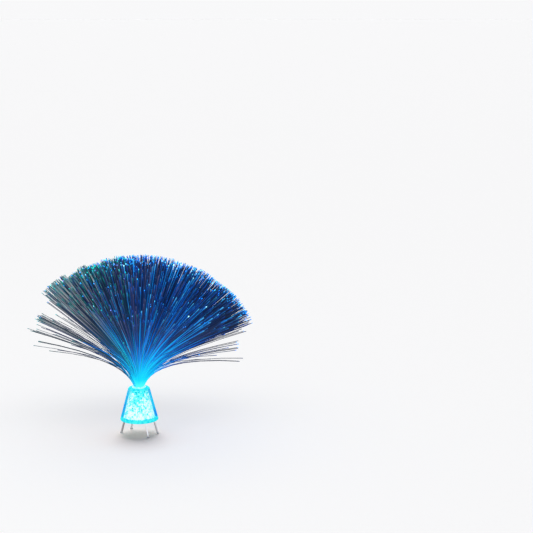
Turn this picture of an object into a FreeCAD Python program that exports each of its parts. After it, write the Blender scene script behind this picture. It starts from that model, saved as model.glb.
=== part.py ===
import FreeCAD, Part
import math
import os
import random
import re
import Sketcher

# A battery table lamp: a clear cone full of glowing crystal chips stands on thin metal legs, and a spray
# of plastic light fibres grows out of its top. The frame: millimetres, +Z up, origin on the table under
# the middle of the cone. The underside has its own direction, turned about Z by turn_angle: the legs
# stand in two pairs, one at each end of its local X axis, with the door and the switch between them.

SIZES = {
    # the clear cone
    "cone_floor": 28, "cone_height": 62, "cone_radius": 36, "cone_top_radius": 19.7,
    "wall": 2.5, "rim_round": 1.1, "shoulder_round": 2.5, "collar_hole": 12.25,
    # clearances: pieces that turn or slide on each other, loose holes, pieces that are pushed together,
    # and the door pin in its lugs
    "gap": 0.35, "play": 0.2, "slip": 0.05, "snug": 0.02,
    # how far fused forms run into each other, and how far a cutting form runs past what it cuts
    "sink": 0.5, "past": 4,
    # the base plate in the cone's foot, its screws and the bosses that they bite in
    "plate_recess": 2.6, "plate_thickness": 2.4, "plate_radius": 33, "turn_angle": -37,
    "screw_circle": 28.8, "shank_radius": 1.1, "head_radius": 2.2, "head_height": 1.4,
    "boss_radius": 2.6, "boss_height": 6, "screw_length": 5.4,
    # legs and feet
    "leg_radius": 2, "leg_circle": 27.5, "leg_splay": 14.8, "leg_spread": 27, "leg_top": 39.4,
    "socket_radius": 3.6, "socket_top": 41, "socket_sink": 1, "tip_radius": 2.3, "tip_height": 3,
    # battery tube, cells and their contacts
    "tube_radius": 12.8, "tube_wall": 1.2, "tube_flange": 14.2, "tube_top": 82, "roof": 1.4,
    "cell_radius": 5.25, "cell_length": 44.5, "nub_radius": 1.9, "nub_height": 1,
    "cell_circle": 6.1, "cell_floor": 34.5,
    "contact_radius": 9, "contact_sheet": 0.4, "leaf_width": 3, "leaf_reach": 2.8, "leaf_foot": 0.5,
    "leaf_bend": 0.3, "slot_start": 1.5, "slot_end": 2.3, "finger_width": 2.4, "finger_inset": 2.3,
    "strip_inset": 1.9, "strip_thickness": 0.3, "strip_drop": 1.8,
    # battery door and hinge
    "door_opening": 12.2, "door_radius": 13.2, "door_floor": 28.3, "door_thickness": 1.9,
    "hinge_offset": 15.2, "hinge_height": 29.1, "knuckle_radius": 1.1, "knuckle_length": 8,
    "lug_width": 2, "pin_radius": 0.5, "tab_width": 8, "tab_tip": 6, "tab_reach": 1.5, "grip_depth": 0.7,
    "grip_width": 5,
    # slide switch
    "switch_offset": 23.6, "switch_travel": 4, "switch_length": 9.4, "switch_width": 4.4,
    "switch_height": 4.2, "track_depth": 2.8, "stem_length": 2, "stem_width": 1.4, "slider_length": 3,
    "slider_width": 2, "slider_height": 1.8, "button_length": 3.4, "button_width": 2.8,
    "button_height": 1.3, "groove_pitch": 1, "groove_width": 0.4, "groove_depth": 0.35,
    "blade_pitch": 2.5, "blade_width": 1.2, "blade_thickness": 0.5, "blade_height": 1.2,
    # lights
    "board_radius": 9, "board_thickness": 1, "led_size": 5, "led_height": 1.6, "led_circle": 5,
    "ring_inner": 14.6, "ring_outer": 20, "ring_led_circle": 17.6, "ring_led_size": 3.4,
    "cup_inner": 10.2, "cup_outer": 11.2, "cup_height": 2.7, "diffuser_thickness": 0.8,
    "chip_length": 5, "chip_width": 4, "chip_height": 1.5,
    "resistor_pitch": 2.2, "resistor_width": 1.2, "resistor_length": 2.4, "resistor_height": 0.6,
    # wires
    "wire_radius": 0.4, "wire_circle": 9.65, "wire_exit": 39.8, "wire_step": 0.65, "wire_loop": 0.6,
    "wire_landing": 1.6, "solder_inset": 0.7,
    # crystal chips: their reach and the air round them, their rows, and the room left beside the switch
    "chip_reach": 3, "chip_air": 0.3, "first_row": 4.3, "last_row": 2.6, "row_pitch": 5.9,
    "switch_room": 3, "wire_room": 8,
    # the turning collar in the cone's top
    "collar_bore": 11, "neck_radius": 11.9, "flange_radius": 13, "flange_thickness": 0.85,
    "lip_radius": 12.9, "lip_height": 1.25, "slit_width": 1.2,
    # the spray's ferrule, its potted root and its fibres
    "ferrule_floor": 86, "ferrule_bore": 10.1, "bead_radius": 11.9, "bead_height": 1.1,
    "bundle_radius": 9.5, "fibre_reach": 0.52, "fibre_length": 246, "bend_length": 50, "path_step": 2.5,
    # how far the fibres lean at their tips, in degrees: the zones of the dome, and the strays below it
    "crown_edge": 26, "shoulder_edge": 42, "dome_edge": 58.5, "stray_gap": 8, "stray_lowest": 70,
    "stray_sideways": 16, "stray_skew": 6, "stray_droop": 10,
}
CONE_SLOPE = "(cone_radius - cone_top_radius) / cone_height"
CONE_LEAN = "atan((cone_radius - cone_top_radius) / cone_height)"
CONE_TOP = "(cone_floor + cone_height)"
PLATE_FLOOR = "(cone_floor + plate_recess)"
PLATE_TOP = "(cone_floor + plate_recess + plate_thickness)"
DOOR_TOP = "(door_floor + door_thickness)"
ROOF_FLOOR = "(tube_top - roof)"

doc = FreeCAD.newDocument("fibre_lamp")
sheet = doc.addObject("Spreadsheet::Sheet", "Sizes")
for row, (alias, value) in enumerate(SIZES.items(), 1):
    sheet.set(f"A{row}", alias)
    sheet.set(f"B{row}", str(value))
    sheet.setAlias(f"B{row}", alias)
doc.recompute()

pieces = []


# ---- helpers: expressions, sketches and features -------------------------------------------------

def full(text):
    """The expression with the sheet's name put before each of its sizes."""
    return re.sub(r"[a-z_]+", lambda word: "Sizes." + word.group()
                  if word.group() in SIZES else word.group(), str(text))


def size(text):
    """The value of an expression in the sheet's sizes."""
    return float(sheet.evalExpression(full(text)))


def bind(thing, **expressions):
    """Bind properties of an object to the sheet. A double underscore stands for a dot."""
    for name, text in expressions.items():
        thing.setExpression(name.replace("__", "."), full(text))
    return thing


def keep(thing, name):
    """Make this object a piece of its own: its label names its file."""
    thing.Label = name
    pieces.append(thing)
    return thing


def origin_part(body, role):
    return next(part for part in body.Origin.OriginFeatures if part.Role == role)


def new_body(turned_under=False):
    """An empty body, turned with the underside where it belongs to it."""
    body = doc.addObject("PartDesign::Body", "Body")
    if turned_under:
        turn_under(body)
    return body


def turn_under(thing, more=0):
    """Give an object the direction of the underside, and turn it some degrees more."""
    thing.Placement = FreeCAD.Placement(FreeCAD.Vector(), FreeCAD.Rotation(FreeCAD.Vector(0, 0, 1), -1))
    return bind(thing, Placement__Rotation__Angle=f"(turn_angle + {more}) * 1 deg")


def new_sketch(body, plane, lift):
    sketch = body.newObject("Sketcher::SketchObject", "Sketch")
    sketch.AttachmentSupport = (origin_part(body, plane), [""])
    sketch.MapMode = "FlatFace"
    if lift:
        bind(sketch, AttachmentOffset__Base__z=lift)
    return sketch


def pin_down(sketch, index, end, across, up):
    """Hold one point of a sketch at its two distances from the sketch's origin."""
    for kind, axis, text in (("DistanceX", -2, across), ("DistanceY", -1, up)):
        value = size(text)
        if abs(value) < 1e-9:
            sketch.addConstraint(Sketcher.Constraint("PointOnObject", index, end, axis))
            continue
        number = sketch.addConstraint(Sketcher.Constraint(kind, -1, 1, index, end, value))
        sketch.setExpression(f"Constraints[{number}]", full(text))


def outline(body, corners, plane="XY_Plane", lift=None):
    """A sketch of one closed outline with straight sides."""
    sketch = new_sketch(body, plane, lift)
    points = [FreeCAD.Vector(size(across), size(up), 0) for across, up in corners]
    count = len(points)
    for index in range(count):
        sketch.addGeometry(Part.LineSegment(points[index], points[(index + 1) % count]))
    for index in range(count):
        sketch.addConstraint(Sketcher.Constraint("Coincident", index, 2, (index + 1) % count, 1))
    for index, (across, up) in enumerate(corners):
        pin_down(sketch, index, 1, across, up)
    return sketch


def circles(body, rounds, plane="XY_Plane", lift=None):
    """A sketch of circles, each given as the place of its centre and its radius."""
    sketch = new_sketch(body, plane, lift)
    for index, (across, up, radius) in enumerate(rounds):
        centre = FreeCAD.Vector(size(across), size(up), 0)
        sketch.addGeometry(Part.Circle(centre, FreeCAD.Vector(0, 0, 1), size(radius)))
        pin_down(sketch, index, 3, across, up)
        number = sketch.addConstraint(Sketcher.Constraint("Radius", index, size(radius)))
        sketch.setExpression(f"Constraints[{number}]", full(radius))
    return sketch


def rectangle(low_across, low_up, high_across, high_up):
    return [(low_across, low_up), (high_across, low_up), (high_across, high_up), (low_across, high_up)]


def polygon(sides, flat_at, first=0):
    """The corners of a regular polygon whose flats lie at this distance from the middle."""
    corners = []
    for number in range(sides):
        angle = f"{first + 360 * (number + 0.5) / sides} deg"
        reach = f"({flat_at}) / cos(180 deg / {sides})"
        corners.append((f"{reach} * cos({angle})", f"{reach} * sin({angle})"))
    return corners


def round_corner(centre, height, radius, low, high, steps=2):
    """Points round a turned piece's edge, on an arc between two angles, in (radius, height)."""
    points = []
    for step in range(steps + 1):
        angle = f"(({low}) + (({high}) - ({low})) * {step} / {steps})"
        points.append((f"{centre} + {radius} * cos({angle})", f"{height} + {radius} * sin({angle})"))
    return points


def pad(body, sketch, length, down=False, both_ways=False):
    feature = body.newObject("PartDesign::Pad", "Pad")
    feature.Profile = sketch
    feature.Reversed = down
    feature.Midplane = both_ways
    bind(feature, Length=length)
    doc.recompute()
    return feature


def pocket(body, sketch, length, up=True, both_ways=False):
    """A pocket that has to take something away, in the direction that the sketch faces."""
    before = body.Shape.Volume
    feature = body.newObject("PartDesign::Pocket", "Pocket")
    feature.Profile = sketch
    feature.Reversed = up
    feature.Midplane = both_ways
    bind(feature, Length=length)
    doc.recompute()
    if body.Shape.Volume > before - 1e-6:
        raise RuntimeError(f"{feature.Name} takes nothing away")
    return feature


def around(body, features, count):
    """Repeat features evenly about the body's Z axis."""
    pattern = body.newObject("PartDesign::PolarPattern", "Around")
    pattern.Originals = features
    pattern.Axis = (origin_part(body, "Z_Axis"), [""])
    pattern.Angle = 360
    pattern.Occurrences = count
    body.Tip = pattern
    doc.recompute()
    return pattern


def turned(body, profile):
    """A turned form from a profile of (radius, height) corners."""
    sketch = outline(body, profile, "XZ_Plane")
    feature = body.newObject("PartDesign::Revolution", "Revolution")
    feature.Profile = sketch
    feature.ReferenceAxis = (sketch, ["V_Axis"])
    feature.Angle = 360
    doc.recompute()
    return feature


def turned_piece(name, profile):
    body = new_body()
    turned(body, profile)
    return keep(body, name)


def block(low, high):
    """A box between two corners, each given as three expressions."""
    box = doc.addObject("Part::Box", "Block")
    for index, side in enumerate(("Length", "Width", "Height")):
        bind(box, **{side: f"({high[index]}) - ({low[index]})",
                     "Placement__Base__" + "xyz"[index]: low[index]})
    return box


def joined(tools, kind="Part::MultiFuse"):
    """Shapes fused to one, or with Part::Compound kept apart as solids of one piece."""
    group = doc.addObject(kind, "Group")
    if kind == "Part::Compound":
        group.Links = tools
    else:
        group.Shapes = tools
    return group


def less(base, tool):
    cut = doc.addObject("Part::Cut", "Cut")
    cut.Base = base
    cut.Tool = tool
    return cut


def polar(radius, degrees, height=0.0):
    angle = math.radians(degrees)
    return FreeCAD.Vector(radius * math.cos(angle), radius * math.sin(angle), height)


def straight_runs(path, reach, sides, first_corner, level_foot=False):
    """A rod of straight runs with mitred bends. Its section is a regular polygon of this reach.

    With a level foot, its first end is cut level, so that it stands flat on what carries it."""
    runs = [(after - before).normalize() for before, after in zip(path, path[1:])]
    flat = FreeCAD.Vector(-runs[0].y, runs[0].x, 0)
    flat = flat.normalize() if flat.Length > 1e-6 else FreeCAD.Vector(0, 1, 0)
    steep = runs[0].cross(flat)
    section = []
    for corner in range(sides):
        angle = math.radians(first_corner + 360 * corner / sides)
        section.append(path[0] + flat * (reach * math.cos(angle)) + steep * (reach * math.sin(angle)))
    if level_foot:
        section = [point + runs[0] * ((path[0].z - point.z) / runs[0].z) for point in section]
    faces = [Part.Face(Part.makePolygon(section + section[:1]))]
    for index, run in enumerate(runs):
        mitre = run + runs[min(index + 1, len(runs) - 1)]
        slid = [point + run * ((path[index + 1] - point).dot(mitre) / run.dot(mitre))
                for point in section]
        for corner in range(sides):
            after = (corner + 1) % sides
            side = [section[corner], section[after], slid[after], slid[corner], section[corner]]
            faces.append(Part.Face(Part.makePolygon(side)))
        section = slid
    faces.append(Part.Face(Part.makePolygon(section + section[:1])))
    solid = Part.Solid(Part.Shell(faces))
    if solid.Volume < 0:
        solid.reverse()
    return solid


def shaped(name, solids, turned_under=False):
    """A piece whose shape is worked out in code from the sheet's sizes."""
    feature = doc.addObject("Part::Feature", "Shaped")
    feature.Shape = Part.Compound(solids) if len(solids) > 1 else solids[0]
    if turned_under:
        turn_under(feature)
    return keep(feature, name)


# ---- the clear cone ------------------------------------------------------------------------------
# Its foot has a rebate for the base plate, two bosses inside take the plate's screws, and its top has
# the hole that the collar snaps in.

def cone_inside(height):
    """The cone's inner radius at a height."""
    return f"(cone_radius - wall - {CONE_SLOPE} * ({height} - cone_floor))"


shell = new_body(turned_under=True)
rebate = "(plate_radius + play)"
shell_top_inside = f"({CONE_TOP} - wall)"
rim_middle = f"(cone_radius - {CONE_SLOPE} * rim_round - rim_round / cos({CONE_LEAN}))"
shoulder_middle = (f"(cone_top_radius + {CONE_SLOPE} * shoulder_round"
                   f" - shoulder_round / cos({CONE_LEAN}))")
rim = round_corner(rim_middle, "(cone_floor + rim_round)", "rim_round", "-90 deg", CONE_LEAN)
shoulder = round_corner(shoulder_middle, f"({CONE_TOP} - shoulder_round)", "shoulder_round",
                        CONE_LEAN, "90 deg")
turned(shell, [(rebate, "cone_floor")] + rim + shoulder + [
    ("collar_hole", CONE_TOP), ("collar_hole", shell_top_inside),
    (cone_inside(shell_top_inside), shell_top_inside), (cone_inside(PLATE_TOP), PLATE_TOP),
    (rebate, PLATE_TOP)])
boss = pad(shell, circles(shell, [("screw_circle", "0", "boss_radius")], lift=PLATE_TOP), "boss_height")
around(shell, [boss], 2)
pilot = pocket(shell, circles(shell, [("screw_circle", "0", "shank_radius")], lift=PLATE_TOP),
               "screw_length + slip")
around(shell, [pilot], 2)
keep(shell, "cone_shell")


# ---- base plate with its leg sockets -------------------------------------------------------------

def leg_line(rod, along, bottom, top):
    """Lay an upright cylinder along a leg, from one height to another.

    along is the leg's direction from the middle, in the underside's frame."""
    tilt = FreeCAD.Rotation(polar(1, along + 90), -SIZES["leg_splay"])
    rod.Placement = FreeCAD.Placement(leg_point(along, bottom), tilt)
    return bind(rod, Height=f"(({top}) - ({bottom})) / cos(leg_splay * 1 deg)")


def leg_point(along, height):
    """Where a leg's middle line passes a height, in the underside's frame."""
    rise = size(height) - SIZES["cone_floor"]
    inward = math.tan(math.radians(SIZES["leg_splay"])) * rise
    return polar(SIZES["leg_circle"] - inward, along, size(height))


LEGS = {"leg_right": SIZES["leg_spread"], "leg_front": -SIZES["leg_spread"],
        "leg_left": 180 + SIZES["leg_spread"], "leg_back": 180 - SIZES["leg_spread"]}

plate = new_body()
pad(plate, circles(plate, [("0", "0", "plate_radius"), ("0", "0", "door_opening")], lift=PLATE_FLOOR),
    "plate_thickness")
screw_hole = pocket(plate, circles(plate, [("screw_circle", "0", "shank_radius + play")],
                                   lift=PLATE_FLOOR), "plate_thickness")
around(plate, [screw_hole], 2)
slot_half = "(stem_length + switch_travel + 2 * gap) / 2"
slot_wide = "(stem_width / 2 + gap)"
pocket(plate, outline(plate, rectangle(f"-{slot_half}", f"switch_offset - {slot_wide}", slot_half,
                                       f"switch_offset + {slot_wide}"), lift=PLATE_FLOOR),
       "plate_thickness")
lug_low = "(hinge_height - knuckle_radius)"
lug_corners = [
    ("-hinge_offset - knuckle_radius", f"{PLATE_FLOOR} + sink"),
    ("-hinge_offset - knuckle_radius", "hinge_height"), ("-hinge_offset - knuckle_radius / 2", lug_low),
    ("-hinge_offset + knuckle_radius / 2", lug_low), ("-hinge_offset + knuckle_radius", "hinge_height"),
    ("-hinge_offset + knuckle_radius", f"{PLATE_FLOOR} + sink")]
lug_start = "(knuckle_length / 2 + gap)"
pad(plate, outline(plate, lug_corners, "YZ_Plane", lift=lug_start), "lug_width")
pad(plate, outline(plate, lug_corners, "YZ_Plane", lift=f"-{lug_start} - lug_width"), "lug_width")
pocket(plate, circles(plate, [("-hinge_offset", "hinge_height", "pin_radius + snug")], "YZ_Plane"),
       "knuckle_length + 2 * (gap + lug_width) + past", both_ways=True)
sockets = []
bores = []
for along in LEGS.values():
    socket = doc.addObject("Part::Cylinder", "Socket")
    sockets.append(leg_line(bind(socket, Radius="socket_radius"), along, f"{PLATE_TOP} - socket_sink",
                            "socket_top"))
    bore = doc.addObject("Part::Cylinder", "Bore")
    bores.append(leg_line(bind(bore, Radius="leg_radius + slip"), along, f"{PLATE_FLOOR} - past",
                          "leg_top + play"))
base_plate = less(joined([plate] + sockets), joined(bores))
keep(turn_under(base_plate), "base_plate")

screws = new_body(turned_under=True)
head = pad(screws, circles(screws, [("screw_circle", "0", "head_radius")], lift=PLATE_FLOOR),
           "head_height", down=True)
shank = pad(screws, circles(screws, [("screw_circle", "0", "shank_radius - slip")], lift=PLATE_FLOOR),
            "plate_thickness + screw_length")
around(screws, [head, shank], 2)
keep(screws, "plate_screws")


# ---- legs: splayed steel rods, each with a clear tip to stand on ---------------------------------

tips = []
for name, along in LEGS.items():
    rod = doc.addObject("Part::Cylinder", "Rod")
    leg_line(bind(rod, Radius="leg_radius"), along, "-past", "leg_top")
    reach = "(leg_circle + leg_top)"
    trim = block((f"-{reach}", f"-{reach}", "tip_height"), (reach, reach, "leg_top + past"))
    leg = doc.addObject("Part::MultiCommon", "Leg")
    leg.Shapes = [rod, trim]
    keep(turn_under(leg), name)
    stub = doc.addObject("Part::Cylinder", "Tip")
    leg_line(bind(stub, Radius="tip_radius"), along, "-past", "tip_height + past")
    slab = block((f"-{reach}", f"-{reach}", "0"), (reach, reach, "tip_height"))
    tip = doc.addObject("Part::MultiCommon", "Foot")
    tip.Shapes = [stub, slab]
    tips.append(tip)
keep(turn_under(joined(tips, "Part::Compound")), "foot_tips")


# ---- battery tube, cells and contacts ------------------------------------------------------------

tube = new_body(turned_under=True)
tube_inside = "(tube_radius - tube_wall)"
turned(tube, [
    (tube_inside, PLATE_TOP), ("tube_flange", PLATE_TOP), ("tube_flange", f"{PLATE_TOP} + tube_wall"),
    ("tube_radius", f"{PLATE_TOP} + tube_wall"), ("tube_radius", "tube_top"), ("0", "tube_top"),
    ("0", ROOF_FLOOR), (tube_inside, ROOF_FLOOR)])
window = rectangle("-4 * wire_radius", "wire_exit - 4 * wire_radius", "4 * wire_radius",
                   "wire_exit + 4 * wire_radius")
side_window = pocket(tube, outline(tube, window, "YZ_Plane"), "tube_radius + past", up=False)
around(tube, [side_window], 3)
notch = rectangle("-wire_circle - wire_radius - gap", "-wire_radius - gap",
                  "-wire_circle + wire_radius + gap", "wire_radius + gap")
roof_notch = pocket(tube, outline(tube, notch, lift=ROOF_FLOOR), "roof")
around(tube, [roof_notch], 6)
keep(tube, "battery_tube")

for number in range(3):
    cell = new_body()
    upright = number != 1
    can = "(cell_length - nub_height)"
    turned(cell, [("0", "0"), ("cell_radius", "0"), ("cell_radius", can), ("nub_radius", can),
                  ("nub_radius", "cell_length"), ("0", "cell_length")])
    place = polar(SIZES["cell_circle"], SIZES["turn_angle"] + 120 * number, SIZES["cell_floor"])
    flip = FreeCAD.Rotation(FreeCAD.Vector(1, 0, 0), 0 if upright else 180)
    if not upright:
        place.z += SIZES["cell_length"]
    cell.Placement = FreeCAD.Placement(place, flip)
    keep(cell, f"cell_{number + 1}")


def contact_set(name, sheet_floor, leaf_tip, slot_turn, finger):
    """A contact sheet cut in a link for two cells and a tab for one, with a bent leaf for each cell.

    sheet_floor is the height of the sheet's lower face, leaf_tip the height that the leaves reach."""
    body = new_body(turned_under=True)
    pad(body, outline(body, polygon(6, "contact_radius"), lift=sheet_floor), "contact_sheet")
    if finger:
        side = outline(body, rectangle("contact_radius - leaf_width", "-finger_width / 2",
                                       "tube_radius - finger_inset", "finger_width / 2"),
                       lift=sheet_floor)
        side.AttachmentOffset = FreeCAD.Placement(
            FreeCAD.Vector(0, 0, size(sheet_floor)), FreeCAD.Rotation(FreeCAD.Vector(0, 0, 1), 60))
        pad(body, side, "contact_sheet")
    hanging = size(leaf_tip) < size(sheet_floor)
    root = sheet_floor if hanging else f"({sheet_floor} + contact_sheet)"
    inner_tip = f"({leaf_tip} + contact_sheet)" if hanging else f"({leaf_tip} - contact_sheet)"
    spread = [("leaf_reach", root), ("leaf_reach / 2", leaf_tip), ("-leaf_reach / 2", leaf_tip),
              ("-leaf_reach", root), ("-leaf_reach + leaf_foot", root),
              ("-leaf_reach / 2 + leaf_bend", inner_tip), ("leaf_reach / 2 - leaf_bend", inner_tip),
              ("leaf_reach - leaf_foot", root)]
    corners = [(f"cell_circle + {across}", up) for across, up in spread]
    leaf = pad(body, outline(body, corners, "XZ_Plane"), "leaf_width", both_ways=True)
    around(body, [leaf], 3)
    gap_line = outline(body, rectangle("slot_start", "-contact_radius - past", "slot_end",
                                       "contact_radius + past"), lift=sheet_floor)
    gap_line.AttachmentOffset = FreeCAD.Placement(
        FreeCAD.Vector(0, 0, size(sheet_floor)), FreeCAD.Rotation(FreeCAD.Vector(0, 0, 1), slot_turn))
    pocket(body, gap_line, "contact_sheet")
    return keep(body, name)


contact_set("top_contacts", f"({ROOF_FLOOR} - contact_sheet)", "(cell_floor + cell_length)", 240, False)
contact_set("door_contacts", DOOR_TOP, "(cell_floor - gap)", 0, True)

side_strip = block(("tube_radius - strip_inset", "-finger_width / 2", PLATE_FLOOR),
                   ("tube_radius - strip_inset + strip_thickness", "finger_width / 2",
                    "wire_exit - strip_drop"))
keep(turn_under(joined([side_strip], "Part::Compound"), 60), "side_contact")


# ---- battery door: a round panel that swings down on a pin ---------------------------------------

door = new_body(turned_under=True)
pad(door, circles(door, [("0", "0", "door_radius")], lift="door_floor"), "door_thickness")
half_knuckle = "(knuckle_length / 2)"
pad(door, outline(door, rectangle(f"-{half_knuckle}", "-hinge_offset", half_knuckle,
                                  "-door_radius + tab_reach"), lift="door_floor"), "door_thickness")
pad(door, circles(door, [("-hinge_offset", "hinge_height", "knuckle_radius")], "YZ_Plane"),
    "knuckle_length", both_ways=True)
tab_corners = [("-tab_width / 2", "door_radius - tab_reach"), ("tab_width / 2", "door_radius - tab_reach"),
               ("tab_tip / 2", "door_radius + tab_reach"), ("-tab_tip / 2", "door_radius + tab_reach")]
pad(door, outline(door, tab_corners, lift="door_floor"), "door_thickness")
grip = [("door_radius - grip_depth / 2", "door_floor"), ("door_radius + grip_depth", "door_floor"),
        ("door_radius + grip_depth / 4", "door_floor + grip_depth")]
pocket(door, outline(door, grip, "YZ_Plane"), "grip_width", both_ways=True)
pocket(door, circles(door, [("-hinge_offset", "hinge_height", "pin_radius + slip")], "YZ_Plane"),
       "knuckle_length + past", both_ways=True)
keep(door, "battery_door")

pin = new_body(turned_under=True)
pad(pin, circles(pin, [("-hinge_offset", "hinge_height", "pin_radius")], "YZ_Plane"),
    "knuckle_length + 2 * (gap + lug_width)", both_ways=True)
keep(pin, "hinge_pin")


# ---- slide switch behind the plate ---------------------------------------------------------------

case = new_body(turned_under=True)
case_side = rectangle("-switch_length / 2", "switch_offset - switch_width / 2", "switch_length / 2",
                      "switch_offset + switch_width / 2")
pad(case, outline(case, case_side, lift=PLATE_TOP), "switch_height")
track_half = "((slider_length + switch_travel) / 2 + gap)"
track_wide = "(slider_width / 2 + gap)"
pocket(case, outline(case, rectangle(f"-{track_half}", f"switch_offset - {track_wide}", track_half,
                                     f"switch_offset + {track_wide}"), lift=PLATE_TOP), "track_depth")
keep(case, "switch_body")

case_top = f"({PLATE_TOP} + switch_height)"
blades = new_body(turned_under=True)
for place in (-1, 0, 1):
    across = f"{place} * blade_pitch"
    blade = rectangle(f"{across} - blade_width / 2", "switch_offset - blade_thickness / 2",
                      f"{across} + blade_width / 2", "switch_offset + blade_thickness / 2")
    pad(blades, outline(blades, blade, lift=case_top), "blade_height")
keep(blades, "switch_terminals")

# The knob stands at the ON end of its track, and slides to the other end to put the lamp out.
knob = new_body(turned_under=True)
knob_middle = "(switch_travel / 2)"


def knob_pad(length, width, floor, top):
    side = rectangle(f"{knob_middle} - {length} / 2", f"switch_offset - {width} / 2",
                     f"{knob_middle} + {length} / 2", f"switch_offset + {width} / 2")
    return pad(knob, outline(knob, side, lift=floor), f"({top}) - ({floor})")


button_floor = f"({PLATE_FLOOR} - gap - button_height)"
slider_floor = f"({PLATE_TOP} + play + gap)"
knob_pad("stem_length", "stem_width", f"({PLATE_FLOOR} - gap - sink)", f"({slider_floor} + sink)")
knob_pad("slider_length", "slider_width", slider_floor, f"({slider_floor} + slider_height)")
knob_pad("button_length", "button_width", button_floor, f"({PLATE_FLOOR} - gap)")
for place in (-1, 0, 1):
    across = f"{knob_middle} + {place} * groove_pitch"
    groove = rectangle(f"{across} - groove_width / 2", "switch_offset - button_width / 2 - play",
                       f"{across} + groove_width / 2", "switch_offset + button_width / 2 + play")
    pocket(knob, outline(knob, groove, lift=button_floor), "groove_depth")
keep(knob, "switch_knob")


# ---- lights: three colour LEDs under the spray, a ring of LEDs under the crystals ----------------

def flat_piece(name, corners, floor, height):
    """A piece cut from sheet."""
    body = new_body(turned_under=True)
    pad(body, outline(body, corners, lift=floor), height)
    return keep(body, name)


flat_piece("led_board", polygon(6, "board_radius"), "tube_top", "board_thickness")
colour_leds = new_body(turned_under=True)
led_side = rectangle("led_circle - led_size / 2", "-led_size / 2", "led_circle + led_size / 2",
                     "led_size / 2")
led = pad(colour_leds, outline(colour_leds, led_side, lift="tube_top + board_thickness"), "led_height")
around(colour_leds, [led], 3)
keep(colour_leds, "colour_leds")

cup = new_body(turned_under=True)
pad(cup, outline(cup, polygon(6, "cup_outer"), lift="tube_top"), "cup_height")
pocket(cup, outline(cup, polygon(6, "cup_inner"), lift="tube_top"), "cup_height")
keep(cup, "light_cup")
flat_piece("diffuser", polygon(6, "cup_outer"), "(tube_top + cup_height)", "diffuser_thickness")

board_top = f"({PLATE_TOP} + board_thickness)"
ring = new_body(turned_under=True)
pad(ring, outline(ring, polygon(8, "ring_outer"), lift=PLATE_TOP), "board_thickness")
pocket(ring, outline(ring, polygon(8, "ring_inner"), lift=PLATE_TOP), "board_thickness")
keep(ring, "ring_board")
ring_leds = new_body(turned_under=True)
ring_side = rectangle("-ring_led_size / 2", "ring_led_circle - ring_led_size / 2",
                      "ring_led_size / 2", "ring_led_circle + ring_led_size / 2")
ring_led = pad(ring_leds, outline(ring_leds, ring_side, lift=board_top), "led_height")
around(ring_leds, [ring_led], 6)
keep(ring_leds, "ring_leds")
chip = block(("-chip_length / 2", "ring_led_circle - chip_width / 2", board_top),
             ("chip_length / 2", "ring_led_circle + chip_width / 2", f"{board_top} + chip_height"))
keep(turn_under(joined([chip], "Part::Compound"), 30), "control_chip")
resistors = []
for place in (-1, 0, 1):
    along = f"{place} * resistor_pitch"
    resistors.append(block((f"{along} - resistor_width / 2", "ring_led_circle - resistor_length / 2",
                            board_top),
                           (f"{along} + resistor_width / 2", "ring_led_circle + resistor_length / 2",
                            f"{board_top} + resistor_height")))
keep(turn_under(joined(resistors, "Part::Compound"), 150), "resistors")


# ---- wires, along the gaps between the cells -----------------------------------------------------

wire_reach = SIZES["wire_radius"]
exit_height = SIZES["wire_exit"]
low_exit = exit_height - SIZES["wire_step"]
high_exit = exit_height + SIZES["wire_step"]
blade_top = size(f"{case_top} + blade_height")
board_over = size("tube_top + board_thickness")
loop_over = board_over + SIZES["wire_loop"]
channel = SIZES["wire_circle"]
solder = SIZES["board_radius"] - SIZES["solder_inset"]
strip_middle = size("tube_radius - strip_inset + strip_thickness / 2")
landing = SIZES["ring_inner"] + SIZES["wire_landing"]
blade_across = SIZES["blade_pitch"]
switch_row = SIZES["switch_offset"]
to_contact = [FreeCAD.Vector(blade_across, switch_row, blade_top),
              FreeCAD.Vector(blade_across, switch_row, low_exit),
              polar(SIZES["tube_flange"], 60, low_exit), polar(strip_middle, 60, low_exit),
              polar(strip_middle, 60, exit_height - SIZES["strip_drop"])]
to_board = [FreeCAD.Vector(0, switch_row, blade_top), FreeCAD.Vector(0, switch_row, high_exit),
            polar(SIZES["tube_flange"], 60, high_exit), polar(channel, 60, high_exit),
            polar(channel, 60, loop_over), polar(solder, 60, loop_over), polar(solder, 60, board_over)]
tab_height = size(ROOF_FLOOR) - wire_reach - SIZES["slip"]
from_tab = [polar(SIZES["contact_radius"], 240, tab_height), polar(channel, 240, tab_height),
            polar(channel, 240, loop_over), polar(solder, 240, loop_over),
            polar(solder, 240, board_over)]
wires = [to_contact, to_board, from_tab]
for along in (180, 300):
    wires.append([polar(solder, along, board_over), polar(solder, along, loop_over),
                  polar(channel, along, loop_over), polar(channel, along, exit_height),
                  polar(landing, along, exit_height), polar(landing, along, size(board_top))])
shaped("lead_wires", [straight_runs(path, wire_reach, 6, 0) for path in wires], turned_under=True)


# ---- crystal chips that fill the cone ------------------------------------------------------------
# Each chip is an eight-sided splinter inside a ball of its own, and the balls stay clear of each other,
# of the cone's wall and of everything that stands on the plate.

draw = random.Random(5)
CHIP_SLIMMEST = 0.7
chip_air = SIZES["chip_air"]
chip_reach = SIZES["chip_reach"]


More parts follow.
